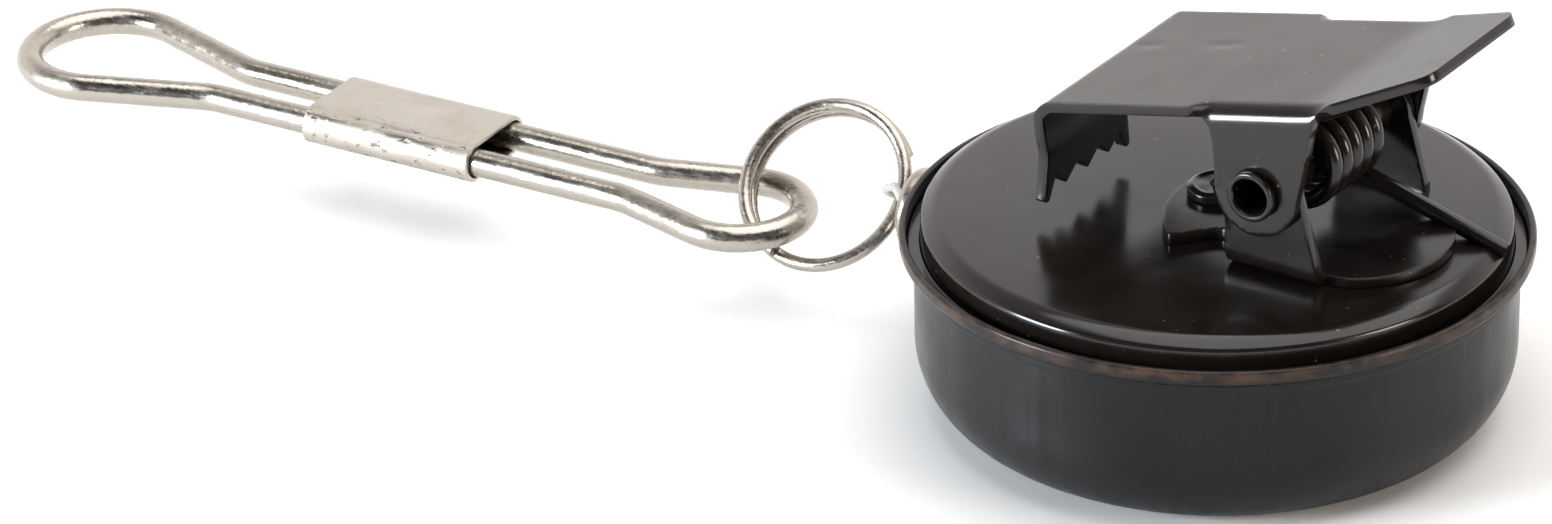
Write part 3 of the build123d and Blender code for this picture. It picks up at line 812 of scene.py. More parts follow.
def spiral_strip_tree():
    """Winds a flat strip into a spiral that widens outward."""
    tree, given, out = new_tree(
        "spiral_strip",
        [
            ("Turns", "NodeSocketFloat", 8.0),
            ("Inner Radius", "NodeSocketFloat", 2.0),
            ("Outer Radius", "NodeSocketFloat", 9.0),
            ("Strip Thickness", "NodeSocketFloat", 0.14),
            ("Strip Width", "NodeSocketFloat", 5.0),
            ("Material", "NodeSocketMaterial", None),
        ],
    )
    spiral = add_node(
        tree,
        "GeometryNodeCurveSpiral",
        {
            "Resolution": 64,
            "Rotations": given.outputs["Turns"],
            "Start Radius": given.outputs["Inner Radius"],
            "End Radius": given.outputs["Outer Radius"],
            "Height": 0.0,
        },
    )
    section = add_node(
        tree,
        "GeometryNodeCurvePrimitiveQuadrilateral",
        {"Width": given.outputs["Strip Thickness"], "Height": given.outputs["Strip Width"]},
    )
    strip = add_node(
        tree,
        "GeometryNodeCurveToMesh",
        {"Curve": spiral.outputs["Curve"], "Profile Curve": section.outputs["Curve"], "Fill Caps": True},
    )
    return close_tree(tree, strip.outputs[0], given, out)


def wound_cord_tree():
    """Winds a cord in layers on a drum: a flat spiral whose height swings from rim to rim as it widens."""
    tree, given, out = new_tree(
        "wound_cord",
        [
            ("Turns", "NodeSocketFloat", 8.0),
            ("Inner Radius", "NodeSocketFloat", 11.0),
            ("Outer Radius", "NodeSocketFloat", 12.0),
            ("Layers", "NodeSocketFloat", 3.0),
            ("Rise", "NodeSocketFloat", 0.9),
            ("Cord Radius", "NodeSocketFloat", 0.25),
            ("Material", "NodeSocketMaterial", None),
        ],
    )
    spiral = add_node(
        tree,
        "GeometryNodeCurveSpiral",
        {
            "Resolution": 72,
            "Rotations": given.outputs["Turns"],
            "Start Radius": given.outputs["Inner Radius"],
            "End Radius": given.outputs["Outer Radius"],
            "Height": 0.0,
        },
    )
    along = add_node(tree, "GeometryNodeSplineParameter")
    layer = add_node(
        tree,
        "ShaderNodeMath",
        {0: along.outputs["Factor"], 1: given.outputs["Layers"]},
        operation="MULTIPLY",
    )
    swing = add_node(tree, "ShaderNodeMath", {0: layer.outputs[0], 1: 1.0}, operation="PINGPONG")
    centred = add_node(tree, "ShaderNodeMath", {0: swing.outputs[0], 1: 0.5}, operation="SUBTRACT")
    rise = given.outputs["Rise"]
    height = add_node(tree, "ShaderNodeMath", {0: centred.outputs[0], 1: rise}, operation="MULTIPLY")
    lift = add_node(tree, "ShaderNodeCombineXYZ", {"Z": height.outputs[0]})
    path = add_node(
        tree,
        "GeometryNodeSetPosition",
        {"Geometry": spiral.outputs["Curve"], "Offset": lift.outputs["Vector"]},
    )
    section = add_node(
        tree, "GeometryNodeCurvePrimitiveCircle", {"Resolution": 12, "Radius": given.outputs["Cord Radius"]}
    )
    cord = add_node(
        tree,
        "GeometryNodeCurveToMesh",
        {"Curve": path.outputs[0], "Profile Curve": section.outputs["Curve"], "Fill Caps": True},
    )
    return close_tree(tree, cord.outputs[0], given, out)


TREES = {}
TREE_MAKERS = {
    "swept_wire": swept_wire_tree,
    "spiral_strip": spiral_strip_tree,
    "wound_cord": wound_cord_tree,
}


def grown(piece, tree_name, finish, **sizes):
    """Runs a geometry tree on a piece with its inputs set by name, and settles the result."""
    if tree_name not in TREES:
        TREES[tree_name] = TREE_MAKERS[tree_name]()
    tree = TREES[tree_name]
    modifier = piece.modifiers.new(tree_name, "NODES")
    modifier.node_group = tree
    sockets = {
        item.name.lower().replace(" ", "_"): item.identifier
        for item in tree.interface.items_tree
        if item.in_out == "INPUT"
    }
    modifier[sockets["material"]] = finish_named(finish)
    for key, value in sizes.items():
        modifier[sockets[key]] = value
    return settle(piece)


def wire(name, points, radius, finish, cyclic=False, sides=28):
    """A round wire through points."""
    data = bpy.data.curves.new(name, "CURVE")
    data.dimensions = "3D"
    spline = data.splines.new("POLY")
    spline.points.add(len(points) - 1)
    for target, point in zip(spline.points, points):
        target.co = (*point, 1)
    spline.use_cyclic_u = cyclic
    return grown(new_object(name, data), "swept_wire", finish, wire_radius=radius, sides=sides)


def seed_mesh(name):
    """An empty mesh object for a tree that needs no input."""
    return new_object(name, bpy.data.meshes.new(name))


# ---- Case ---------------------------------------------------------------------------------------------


def build_cup():
    """The deep-drawn cup with its flared lip."""
    size = Sizes("reel_case")
    flat = size.wall_radius - size.corner_flat
    top, lip = CUP_HIGH.z, CUP_HIGH.x
    inner = size.wall_radius - size.wall
    flare = top - size.lip_band
    ledge = top - size.lip_groove - size.plate_sheet

    def quarter(radius_flat, radius_up, first, last):
        turns = [math.radians(first + (last - first) * k / 20) for k in range(21)]
        return [(flat + radius_flat * math.cos(a), size.corner_up + radius_up * math.sin(a)) for a in turns]

    wall = [
        (size.wall_radius, size.corner_up + 0.5, 0),
        (size.wall_radius, flare - size.lip_flare, 0.9),
        (lip, flare, 0.3),
        (lip, top, 0.14),
        (lip - size.lip_top, top, 0.12),
        (lip - size.lip_top, ledge, 0.05),
        (inner, ledge, 0.05),
        (inner, size.corner_up + 0.5, 0),
    ]
    outline = [(0.0, 0.0)]
    outline += quarter(size.corner_flat, size.corner_up, -90, 0)
    outline += [tuple(p) for p in rounded(wall, closed=False)]
    outline += quarter(size.corner_flat - size.wall, size.corner_up - size.floor, 0, -90)
    outline.append((0.0, size.floor))
    cup = lathe("case_shell", outline)
    clean(cup.data)
    cup = bore(cup, (-inner + 1, 0, EXIT_HEIGHT), (-lip - 1, 0, EXIT_HEIGHT), size.ferrule_neck)
    return fit(cup, "case_lacquer", "case_black", "case", "case_cup")


def build_plate():
    """The shallow pan that closes the case."""
    size = Sizes("reel_case")
    sheet = size.plate_sheet
    shoulder = size.plate_edge - size.plate_shoulder
    drop = 0.5
    seat = PLATE_LOW.z
    flange = PLATE_HIGH.x
    shank = 1.1
    crown = 0.05
    outline = [
        (shank, PLATE_TOP, 0),
        (shoulder * 0.6, PLATE_TOP, 0),
        (shoulder, PLATE_TOP - crown, 1.0),
        (size.plate_edge, PLATE_TOP - drop, 0.35),
        (size.plate_edge, seat + sheet, 0.12),
        (flange, seat + sheet, 0.1),
        (flange, seat, 0.1),
        (size.plate_edge - sheet, seat, 0.3),
        (size.plate_edge - sheet, PLATE_TOP - drop - sheet / 2, 0.2),
        (shoulder - sheet / 2, PLATE_TOP - sheet - crown, 0.4),
        (shoulder * 0.6, PLATE_TOP - sheet, 0),
        (shank, PLATE_TOP - sheet, 0),
    ]
    return fit(lathe("back_pan", rounded(outline)), "enamel", "plate_black", "case", "back_plate")


def build_ferrule():
    """The plated eyelet that the cord leaves by, domed on its outside."""
    size = Sizes("reel_case")
    back = -FERRULE_HIGH.x
    lip = CUP_HIGH.x
    rim = FERRULE_HIGH.y
    inner = size.wall_radius - size.wall
    hole = size.ferrule_bore
    neck = size.ferrule_neck - 0.02
    outline = [
        (hole, back, 0.1),
        (rim - 0.2, back, 0.1),
        (rim - 0.2, back + 0.35, 0.1),
        (neck, inner - 0.2, 0.1),
        (neck, size.wall_radius + 0.02, 0),
        (neck + 0.25, size.wall_radius + 0.02, 0.1),
        (neck + 0.28, lip, 0.2),
        (rim, lip + 0.55, 0.25),
        (rim, EXIT_MOUTH - 0.35, 0.5),
        (rim - 0.7, EXIT_MOUTH, 0.5),
        (hole + 0.15, EXIT_MOUTH, 0.2),
        (hole, EXIT_MOUTH - 0.8, 0.4),
    ]
    turn = Matrix.Translation((0, 0, EXIT_HEIGHT)) @ Matrix.Rotation(math.radians(-90), 4, "Y")
    ferrule = lathe("ferrule", rounded(outline), 72)
    return fit(ferrule, "bright_nickel", "ferrule_nickel", "case", "exit_ferrule", turn=turn)


# ---- Inside the case ----------------------------------------------------------------------------------


def finish_inner_parts():
    """Gives the inner parts that stay as modelled their finishes."""
    for node in ("spool", "spring_cover"):
        keep(node, "white_acetal")
    for node in ("center_post", "rivet_washer", "spool_washer", "cord_crimp"):
        keep(node, "inner_steel")


def build_mainspring():
    """The spiral spring in the drum."""
    size = Sizes("reel_inside")
    width = MAINSPRING_HIGH.z - MAINSPRING_LOW.z
    outer = MAINSPRING_HIGH.x - 0.2
    inner = POST_HIGH.x / 2 + 0.4
    spring = grown(
        seed_mesh("drum_spring"),
        "spiral_strip",
        "spring_steel",
        turns=size.spring_turns,
        inner_radius=inner - 1.0,
        outer_radius=outer,
        strip_thickness=size.strip,
        strip_width=width,
    )
    lift = Matrix.Translation((0, 0, MAINSPRING_LOW.z + width / 2))
    return fit(spring, "spring_steel", "spring_steel", "case", "mainspring", turn=lift)


def build_winding():
    """The cord on the drum, between the spool's rims."""
    size = Sizes("reel_inside")
    drum = WINDING_HIGH.x - 1.8
    radius = size.cord / 2
    cord = grown(
        seed_mesh("wound_cord"),
        "wound_cord",
        "clear_cord",
        turns=size.cord_turns,
        inner_radius=drum + radius + 0.05,
        outer_radius=WINDING_HIGH.x - radius,
        layers=2.7,
        rise=WINDING_HIGH.z - WINDING_LOW.z - 2 * radius,
        cord_radius=radius,
    )
    lift = Matrix.Translation((0, 0, (WINDING_LOW.z + WINDING_HIGH.z) / 2))
    return fit(cord, "clear_cord", "cord", "reel", "cord_winding", turn=lift)


def build_cord_lead():
    """The cord from the winding to the crimp, as a fixed wire baked in place; on the real reel this stretch
    pulls out of the case as the cord is pulled.
    """
    size = Sizes("reel_inside")
    lead_high = node_box("cord_lead")[1]
    start = Vector((lead_high.x, lead_high.y - 0.2, EXIT_HEIGHT))
    knee = Vector((-FERRULE_HIGH.x, 0, EXIT_HEIGHT))
    end = Vector((CRIMP_HIGH.x, 0, EXIT_HEIGHT))
    corners = [(start.x, start.y, 0), (knee.x, knee.y, 1.0), (end.x, end.y, 0)]
    points = [(p.x, p.y, EXIT_HEIGHT) for p in rounded(corners, closed=False)]
    lead = wire("cord_stretch", points, size.cord / 2, "clear_cord", sides=12)
    across = (tuple(knee * MM), tuple((end + Vector((0.05, 0, 0))) * MM))
    return fit(lead, "clear_cord", "cord", ("case", "cord_end", *across), "cord_lead")


# ---- Clip ---------------------------------------------------------------------------------------------


def bent(over, radius, share):
    """How far a strip goes sideways and in depth, for its reach past a bend's start and the bend's share."""
    if share < 1e-3:
        return over, 0.0
    curve = share / radius
    arc = min(over, radius * math.pi / 2)
    turn = curve * arc
    rest = over - arc
    sideways = math.sin(turn) / curve + rest * math.cos(turn)
    depth = (1 - math.cos(turn)) / curve + rest * math.sin(turn)
    return sideways, depth


def zone(value, low, high, fade):
    """1 between two limits, fading smoothly to 0 outside them."""
    past = max(low - value, value - high, 0.0) / fade
    past = min(past, 1.0)
    return 1 - past * past * (3 - 2 * past)


def build_lever():
    """The pressed lever: toothed jaw, sloping top, cheeks round the pivot and a tail that kicks up."""
    size = Sizes("reel_clip")
    half = size.width / 2
    tip_z = PLATE_TOP + size.jaw_gap
    front_z = PLATE_TOP + size.jaw_rise
    rise, kick = math.tan(size.top_slope), math.tan(size.tail_slope)
    crease_z = front_z + rise * (size.cheek_rear - size.jaw_x)
    tail_z = crease_z + kick * (size.tail_x - size.cheek_rear)
    spine = Spine(
        [
            (size.jaw_x, tip_z, 0),
            (size.jaw_x, front_z, size.front_bend),
            (size.cheek_rear, crease_z, 9.0),
            (size.tail_x, tail_z, 0),
        ]
    )
    slope = Vector((math.cos(size.top_slope), math.sin(size.top_slope)))
    down = Vector((slope.y, -slope.x))
    flat_end = half - size.cheek_bend
    root = Vector((size.cheek_front, front_z + rise * (size.cheek_front - size.jaw_x)))
    root_s = spine.length_at(size.cheek_front)

    def on_cheek(x, z, side):
        """A point of the cheek's plane in the flat blank."""
        gap = Vector((x, z)) - root
        depth = gap.dot(down)
        reach = flat_end + size.cheek_bend * math.pi / 2 + depth - size.cheek_bend
        return root_s + gap.dot(slope), side * reach

    def cheek(side):
        """The cheek's edge from its front root round the pivot to its rear root, as rounded corners."""
        front_s, rear_s = root_s, spine.length_at(size.cheek_rear)
        waist = on_cheek(size.cheek_front + 0.2, PIVOT.z + 1.6, side)
        rear = on_cheek(size.cheek_rear - 0.45, PIVOT.z + 1.2, side)
        low = [
            on_cheek(PIVOT.x + size.cheek_tip * math.cos(a), PIVOT.z + size.cheek_tip * math.sin(a), side)
            for a in (math.pi + math.pi * k / 14 for k in range(15))
        ]
        corners = [(front_s - 0.25, side * half, 0.9), (*waist, 2.5)]
        corners += [(*point, 0) for point in low]
        corners += [(*rear, 2.5), (rear_s + 0.1, side * half, 0.5)]
        return corners if side > 0 else corners[::-1]

    # The jaw's edge: corner teeth at both ends, V notches between, then shorter teeth.
    jaw_far = -half + size.jaw_width
    first = -half + size.tooth_pitch / 2
    notches = round(size.jaw_width / size.tooth_pitch)
    teeth = [(0.0, -half, 0.15), (0.0, -half + 0.42, 0.18)]
    for k in range(notches):
        valley = first + k * size.tooth_pitch
        teeth.append((size.tooth_depth, valley, 0.07))
        if k < notches - 1:
            teeth.append((0.35, valley + size.tooth_pitch / 2, 0.2))
    teeth += [(0.0, jaw_far - 0.42, 0.18), (0.0, jaw_far, 0.15)]
    bend_s = front_z - tip_z - size.front_bend
    waist_s, waist = bend_s * 0.55, 0.3
    tail_s, tail_half = spine.lengths[-1], size.tail_width / 2
    corners = teeth
    corners += [(waist_s, jaw_far - waist, 2.5), (bend_s + 0.3, jaw_far + 0.1, 0.9)]
    corners += [(bend_s + 0.5, half, 0.4)]
    corners += cheek(1)
    corners += [(tail_s, tail_half, 1.1), (tail_s, -tail_half, 1.1)]
    corners += cheek(-1)
    corners += [(bend_s + 0.6, -half, 1.5), (waist_s, -half + waist, 2.5)]
    outline = rounded(corners, steps=6)
    outline.reverse()
    rear_s = spine.length_at(size.cheek_rear)
    dents = ((spine.length_at(-5.0), 1.6), (spine.length_at(-0.8), 1.9))

    def fold(s, t):
        point, direction = spine.at(s)
        over = abs(t) - flat_end
        across, depth = abs(t), 0.0
        if over > 0:
            front = root_s - 0.35 * max(over - 0.3, 0.0)
            share = zone(s, front, rear_s, 1.1)
            sideways, depth = bent(over, size.cheek_bend, share)
            across = flat_end + sideways
        for dent_s, dent_t in dents:
            depth += 0.035 * math.exp(-(((s - dent_s) / 0.9) ** 2) - ((t - dent_t) / 0.45) ** 2)
        normal = Vector((-direction.y, direction.x))
        # The jaw bellies out a little under its bend.
        belly = 0.16 * zone(s, bend_s - 0.4, bend_s + 0.2, 1.6)
        place = point - normal * (depth - belly * zone(s, 0.0, bend_s, 1.2))
        return place.x, math.copysign(across, t), place.y

    holes = [(on_cheek(PIVOT.x, PIVOT.z, side), size.tube + 0.03) for side in (1, -1)]
    lever = bent_sheet("lever", outline, holes, fold, size.sheet, -1.0)
    return fit(lever, "clip_enamel", "clip_black", "lever", "clip_lever", turn=CLIP_TURN, sharp=50.0)


def build_base():
    """The clip's base: a fan-shaped front on the rivet, ears bent up at the sides and a round tail."""
    size = Sizes("reel_clip")
    bottom = PLATE_TOP + 0.05
    flat_end = size.ear_plane - size.ear_bend
    fan_half, fan_x, front_x = size.ear_plane - 0.35, 0.4, -2.0
    tail_centre, tail_radius = 7.6, size.ear_plane - 0.35
    sagitta = fan_x - front_x
    fan_radius = (fan_half**2 + sagitta**2) / (2 * sagitta)
    fan_turn = math.degrees(math.asin(fan_half / fan_radius))

    def on_ear(x, z, side):
        """A point of the ear's plane in the flat blank."""
        reach = flat_end + size.ear_bend * math.pi / 2 + (z - bottom) - size.ear_bend
        return x, side * reach

    def ear(side):
        """The ear's edge from its front foot round the pivot to its rear foot."""
        tip = [
            on_ear(PIVOT.x + size.ear_tip * math.cos(a), PIVOT.z + size.ear_tip * math.sin(a), side)
            for a in (math.pi - math.pi * k / 14 for k in range(15))
        ]
        corners = [(size.ear_front - 0.1, side * 3.9, 0.3)]
        corners += [(*on_ear(size.ear_front, bottom + 1.2, side), 0.3)]
        corners += [(*point, 0) for point in tip]
        corners += [(*on_ear(size.ear_rear, bottom + 1.2, side), 0.3)]
        corners += [(size.ear_rear + 0.05, side * flat_end, 0.1)]
        return corners if side > 0 else corners[::-1]

    fan = arc_points((front_x + fan_radius, 0), fan_radius, 180 + fan_turn, 180 - fan_turn, 28)
    tail_start = math.degrees(math.asin(flat_end / tail_radius)) - 4
    tail = arc_points((tail_centre, 0), tail_radius, tail_start, -tail_start, 32)
    corners = [(p.x, p.y, 0) for p in fan[1:-1]]
    corners += [(fan_x, fan_half, 0.35), (2.2, 3.2, 0.5)]
    corners += ear(1)
    corners += [(p.x, p.y, 0) for p in tail]
    corners += ear(-1)
    corners += [(2.2, -3.2, 0.5), (fan_x, -fan_half, 0.35)]
    outline = rounded(corners, steps=6)
    outline.reverse()

    def fold(s, t):
        over = abs(t) - flat_end
        across, height = abs(t), 0.0
        if over > 0:
            sideways, height = bent(over, size.ear_bend, zone(s, size.ear_front, size.ear_rear, 0.5))
            across = flat_end + sideways
        return s, math.copysign(across, t), bottom + height

    holes = [((0.0, 0.0), 1.15)]
    holes += [(on_ear(PIVOT.x, PIVOT.z, side), size.tube) for side in (1, -1)]
    base = bent_sheet("clip_foot", outline, holes, fold, size.sheet, 1.0)
    return fit(base, "clip_enamel", "clip_black", "clip", "clip_base", turn=CLIP_TURN, sharp=50.0)


def build_pivot():
    """The hollow pivot tube, flared over the cheeks at both ends."""
    size = Sizes("reel_clip")
    half = size.width / 2
    reach = half + size.tube_reach
    flare = size.tube + 0.15
    outline = [
        (size.tube_bore, -reach + 0.1, 0.05),
        (size.tube_bore + 0.08, -reach, 0.05),
        (flare, -reach, 0.12),
        (flare, -reach + 0.3, 0.1),
        (size.tube, -half - 0.06, 0.1),
        (size.tube, half + 0.06, 0.1),
        (flare, reach - 0.3, 0.1),
        (flare, reach, 0.12),
        (size.tube_bore + 0.08, reach, 0.05),
        (size.tube_bore, reach - 0.1, 0.05),
    ]
    turn = CLIP_TURN @ Matrix.Translation(PIVOT) @ Matrix.Rotation(math.radians(90), 4, "X")
    tube = lathe("pivot_tube", rounded(outline, steps=4), 64)
    return fit(tube, "clip_enamel", "clip_black", "clip", "clip_pivot_pin", turn=turn)


def build_rivet():
    """The rivet that the clip turns on, its head hammered a little out of round with a dished top."""
    size = Sizes("reel_clip")
    head, shank = size.rivet_head, size.rivet_shank
    top = RIVET_HIGH.z
    bottom = top - size.rivet_height
    low = node_box("swivel_rivet")[0].z
    outline = [
        (0.0, low, 0),
        (head - 0.05, low, 0.1),
        (head, low + 0.25, 0.05),
        (shank, low + 0.25, 0),
        (shank, bottom, 0),
        (head - 0.02, bottom, 0.08),
        (head, top - 0.12, 0.1),
        (head - 0.28, top, 0.12),
        (head - 0.55, top - 0.1, 0.2),
        (0.0, top - 0.14, 0),
    ]
    rivet = lathe("rivet", rounded(outline, closed=True, steps=5), 72)
    for vertex in rivet.data.vertices:
        place = vertex.co
        if place.z > bottom - 0.01:
            around = math.atan2(place.y, place.x)
            share = min(1.0, math.hypot(place.x, place.y) / head)
            grow = 1 + share * (0.018 * math.sin(3 * around + 1) + 0.012 * math.sin(7 * around))
            place.x, place.y = place.x * grow, place.y * grow
            place.z -= share * 0.035 * (1 + math.sin(4 * around + 2)) * (place.z > bottom + 0.2)
    return fit(rivet, "clip_enamel", "clip_black", "case", "swivel_rivet", sharp=45.0)


def clip_spring_line():
    """The torsion spring's middle line: its coil, the upper leg's tip and the lower leg's foot."""
    size = Sizes("reel_clip")
    radius, upper = size.coil, size.upper_slope
    foot_z = PLATE_TOP + size.wire + size.leg_lift
    reach, drop = size.leg_end - PIVOT.x, PIVOT.z - foot_z
    lean = math.asin(radius / math.hypot(reach, drop)) - math.atan2(drop, reach)
    turns = size.coil_turns + (math.pi + lean - upper) / (2 * math.pi)
    span = turns * size.coil_pitch

    def on_coil(share):
        """A point of the coil, from its upper end at 0 to its lower end at 1."""
        a = math.pi / 2 + upper + 2 * math.pi * turns * share
        return Vector((PIVOT.x + radius * math.cos(a), span * (share - 0.5), PIVOT.z + radius * math.sin(a)))

    steps = int(turns * 40)
    coil = [on_coil(k / steps) for k in range(steps + 1)]
    ahead = (coil[-1] - coil[-2]).normalized()
    tip = coil[0] + Vector((math.cos(upper), 0, math.sin(upper))) * size.upper_leg
    foot = coil[-1] + ahead * ((size.leg_end - coil[-1].x) / ahead.x)
    return coil, tip, foot


def build_clip_spring():
    """The torsion spring: coil and lower leg go on the clip's body with the base; the upper leg is a
    separate wire under the lever, baked in place on no body.
    """
    size = Sizes("reel_clip")
    coil, tip, foot = clip_spring_line()
    main = wire("clip_coil", coil + [foot], size.wire, "clip_enamel", sides=20)
    fit(main, "clip_enamel", "clip_black", "clip", "clip_spring", turn=CLIP_TURN)
    root = coil[1]
    leg_points = [root, coil[0]] + [coil[0].lerp(tip, k / 12) for k in range(1, 13)]
    leg = wire("clip_coil_leg", leg_points, size.wire, "clip_enamel", sides=20)
    ends = (tuple((CLIP_TURN @ coil[0]) * MM), tuple((CLIP_TURN @ tip) * MM))
    fit(leg, "clip_enamel", "clip_black", ("clip", "lever", *ends), turn=CLIP_TURN)


# ---- Cord end, ring and snap --------------------------------------------------------------------------


def build_cord_loop():
    """The cord's end loop: out of the ferrule, once round the ring's wire and back to the crimp."""
    size = Sizes("reel_snap")
    radius = size.loop_cord
    crimp_face = CRIMP_LOW.x
    side = Vector((0, 0.24, 0))
    mouth = Vector((-EXIT_MOUTH - 0.1, 0, EXIT_HEIGHT))
    toward = mouth - GRIP
    flat = (toward - GRIP_AXIS * toward.dot(GRIP_AXIS)).normalized()
    across = GRIP_AXIS.cross(flat)
    start = Vector((crimp_face, 0, EXIT_HEIGHT))
    path = [start + side * 0.9, mouth + side]
    opening = math.radians(42)
    shift = GRIP_AXIS * 0.2
    for k in range(29):
        a = opening + (2 * math.pi - 2 * opening) * k / 28
        lay = shift * (1 - 2 * k / 28)
        path.append(GRIP + (flat * math.cos(a) + across * math.sin(a)) * size.loop + lay)
    path += [mouth - side, start - side * 0.9]
    loop = wire("cord_eye", smooth_path(path, 6), radius, "clear_cord", sides=14)
    return fit(loop, "clear_cord", "cord", "cord_end", "cord_loop")


def smooth_path(points, parts):
    """A smooth line through points, by Catmull-Rom pieces."""
    ends = [points[0] * 2 - points[1], *points, points[-1] * 2 - points[-2]]
    line = []
    for a, b, c, d in zip(ends, ends[1:], ends[2:], ends[3:]):
        for k in range(parts):
            t = k / parts
            square = 2 * a - 5 * b + 4 * c - d
            cube = 3 * b - a - 3 * c + d
            line.append(0.5 * (2 * b + (c - a) * t + square * t * t + cube * t**3))
    return line + [points[-1]]


def build_ring():
    """The split ring: one wire wound a little more than one and a half turns."""
    size = Sizes("reel_snap")
    centre = (RING_LOW + RING_HIGH) / 2
    radius = (RING_HIGH.x - RING_LOW.x - size.ring_wire) / 2
    layer = size.ring_wire + 0.04
    right = Vector((1, 0, 0))
    rise = Vector((0, math.cos(size.ring_lean), math.sin(size.ring_lean)))
    axis = right.cross(rise)
    steps = int(size.ring_turns * 96)
    points = []
    for k in range(steps + 1):
        share = k / steps
        a = size.ring_start + 2 * math.pi * size.ring_turns * share
        height = layer * size.ring_turns * (share - 0.5)
        points.append(centre + radius * (right * math.cos(a) + rise * math.sin(a)) + axis * height)
    ring = wire("key_ring", points, size.ring_wire / 2, "nickel", sides=24)
    return fit(ring, "nickel", "ring_nickel", "ring", "split_ring")


def snap_line():
    """The snap's middle line as (x, y) points, with y measured from the snap's own middle."""
    size = Sizes("reel_snap")
    gap = size.strands / 2
    small_x = SNAP_HIGH.x - size.wire / 2 - size.small_loop
    big_x = SNAP_LOW.x + size.wire / 2 + size.big_loop
    small_bend, big_bend = small_x - size.small_taper, big_x + size.big_taper
    sleeve_x = (SLEEVE_LOW.x + SLEEVE_HIGH.x) / 2

    def touch(bend_x, loop_x, radius):
        """Angle on the loop where the far side's slant touches it."""
        gap_x = bend_x - loop_x
        distance = math.hypot(gap_x, gap)
        return math.atan2(gap, gap_x), math.acos(radius / distance)

    toward, spread = touch(small_bend, small_x, size.small_loop)
    small_far = math.degrees(toward - spread)
    toward, spread = touch(big_bend, big_x, size.big_loop)
    big_far = math.degrees(toward + spread)
    small = arc_points((small_x, 0), size.small_loop, -small_far, small_far, 56)
    big = arc_points((big_x, 0), size.big_loop, big_far, 360 - big_far, 64)
    near_end, far_end = sleeve_x + size.end_gap / 2, sleeve_x - size.end_gap / 2
    near_side = [(near_end, -gap, 0), (small_bend, -gap, size.bend), (*small[0], 0)]
    line = rounded(near_side, closed=False, steps=24)
    line += small[1:-1]
    far_side = [(*small[-1], 0), (small_bend, gap, size.bend), (big_bend, gap, size.bend), (*big[0], 0)]
    line += rounded(far_side, closed=False, steps=24)
    line += big[1:-1]
    line += rounded([(*big[-1], 0), (big_bend, -gap, size.bend), (far_end, -gap, 0)], closed=False, steps=24)
    return line


def build_snap():
    """The snap wire, with the two loops and its ends inside the sleeve."""
    size = Sizes("reel_snap")
    middle_y = (SNAP_LOW.y + SNAP_HIGH.y) / 2
    height = (SNAP_LOW.z + SNAP_HIGH.z) / 2
    points = [(p.x, p.y + middle_y, height) for p in snap_line()]
    snap = wire("snap", points, size.wire / 2, "nickel", sides=36)
    return fit(snap, "nickel", "snap_nickel", "snap", "snap_wire")


def build_sleeve():
    """The flattened tube round the two strands, a little dented, with its edges left from the cut."""
    size = Sizes("reel_snap")
    middle = (SLEEVE_LOW + SLEEVE_HIGH) / 2
    half = (SLEEVE_HIGH - SLEEVE_LOW) / 2
    sheet = size.sleeve_sheet
    long = SLEEVE_HIGH.x - SLEEVE_LOW.x
    rows = 60

    def section(grow, x):
        """The sleeve's outline at a place along it, in (y, z), grown or shrunk by a distance."""
        share = (x - SLEEVE_LOW.x) / long
        flat = half.z + grow - 0.03 * math.sin(math.pi * share)
        wide = half.y + grow
        dent = 0.09 * math.exp(-(((share - 0.52) / 0.09) ** 2))
        points = []
        for side, start in ((1, -90), (-1, 90)):
            points += arc_points((side * (wide - flat), 0), flat, start, start + 180, 24)
            points += [Vector((side * (wide - flat) * (1 - k / 6), side * flat)) for k in range(1, 12)]
        return [(p.x, p.y - dent * math.exp(-(((p.x - 1.1) / 0.9) ** 2)) * (p.y > 0)) for p in points]

    vertices, faces = [], []
    loops = []
    round_off = 0.08
    stations = [SLEEVE_LOW.x + long * k / rows for k in range(rows + 1)]
    outer = [(SLEEVE_LOW.x, -round_off), (SLEEVE_LOW.x + round_off, 0.0)]
    outer += [(x, 0.0) for x in stations[1:-1]]
    outer += [(SLEEVE_HIGH.x - round_off, 0.0), (SLEEVE_HIGH.x, -round_off)]
    inner = [(x, -sheet + (round_off if x in (SLEEVE_LOW.x, SLEEVE_HIGH.x) else 0)) for x in stations[::-1]]
    for x, grow in outer + inner:
        ring = section(grow, x)
        loops.append(range(len(vertices), len(vertices) + len(ring)))
        vertices += [(x, p[0] + middle.y, p[1] + middle.z) for p in ring]
    for ring, after in zip(loops, loops[1:] + loops[:1]):
        count = len(ring)
        for k in range(count):
            n = (k + 1) % count
            faces.append((ring[k], ring[n], after[n], after[k]))
    sleeve = new_object("sleeve", mesh_of("sleeve", vertices, faces))
    return fit(sleeve, "sleeve_nickel", "sleeve_nickel", "sleeve", "snap_sleeve", sharp=40.0)


# ---- Stage --------------------------------------------------------------------------------------------


def build_camera():
    """The camera, placed by its turn, height, roll and distance."""
    size = Sizes("reel_studio")
    turn = Matrix.Rotation(size.azimuth, 3, "Z")
    climb = size.elevation
    right = turn @ Vector((1, 0, 0))
    up = turn @ Vector((0, math.sin(climb), math.cos(climb)))
    ahead = turn @ Vector((0, math.cos(climb), -math.sin(climb)))
    tilted_right = right * math.cos(size.roll) + up * math.sin(size.roll)
    tilted_up = up * math.cos(size.roll) - right * math.sin(size.roll)
    aim = Vector((0, 0, CUP_HIGH.z))
    place = aim - tilted_right * size.aim_right - tilted_up * size.aim_up - ahead * size.distance
    camera = bpy.data.objects.new("camera", bpy.data.cameras.new("camera"))
    bpy.context.scene.collection.objects.link(camera)
    pose = Matrix((tilted_right, tilted_up, -ahead)).transposed().to_4x4()
    pose.translation = place * MM
    camera.matrix_world = pose
    camera.data.lens = size.lens
    camera.data.sensor_width = 36.0
    camera.data.clip_start = 0.01
    bpy.context.scene.camera = camera


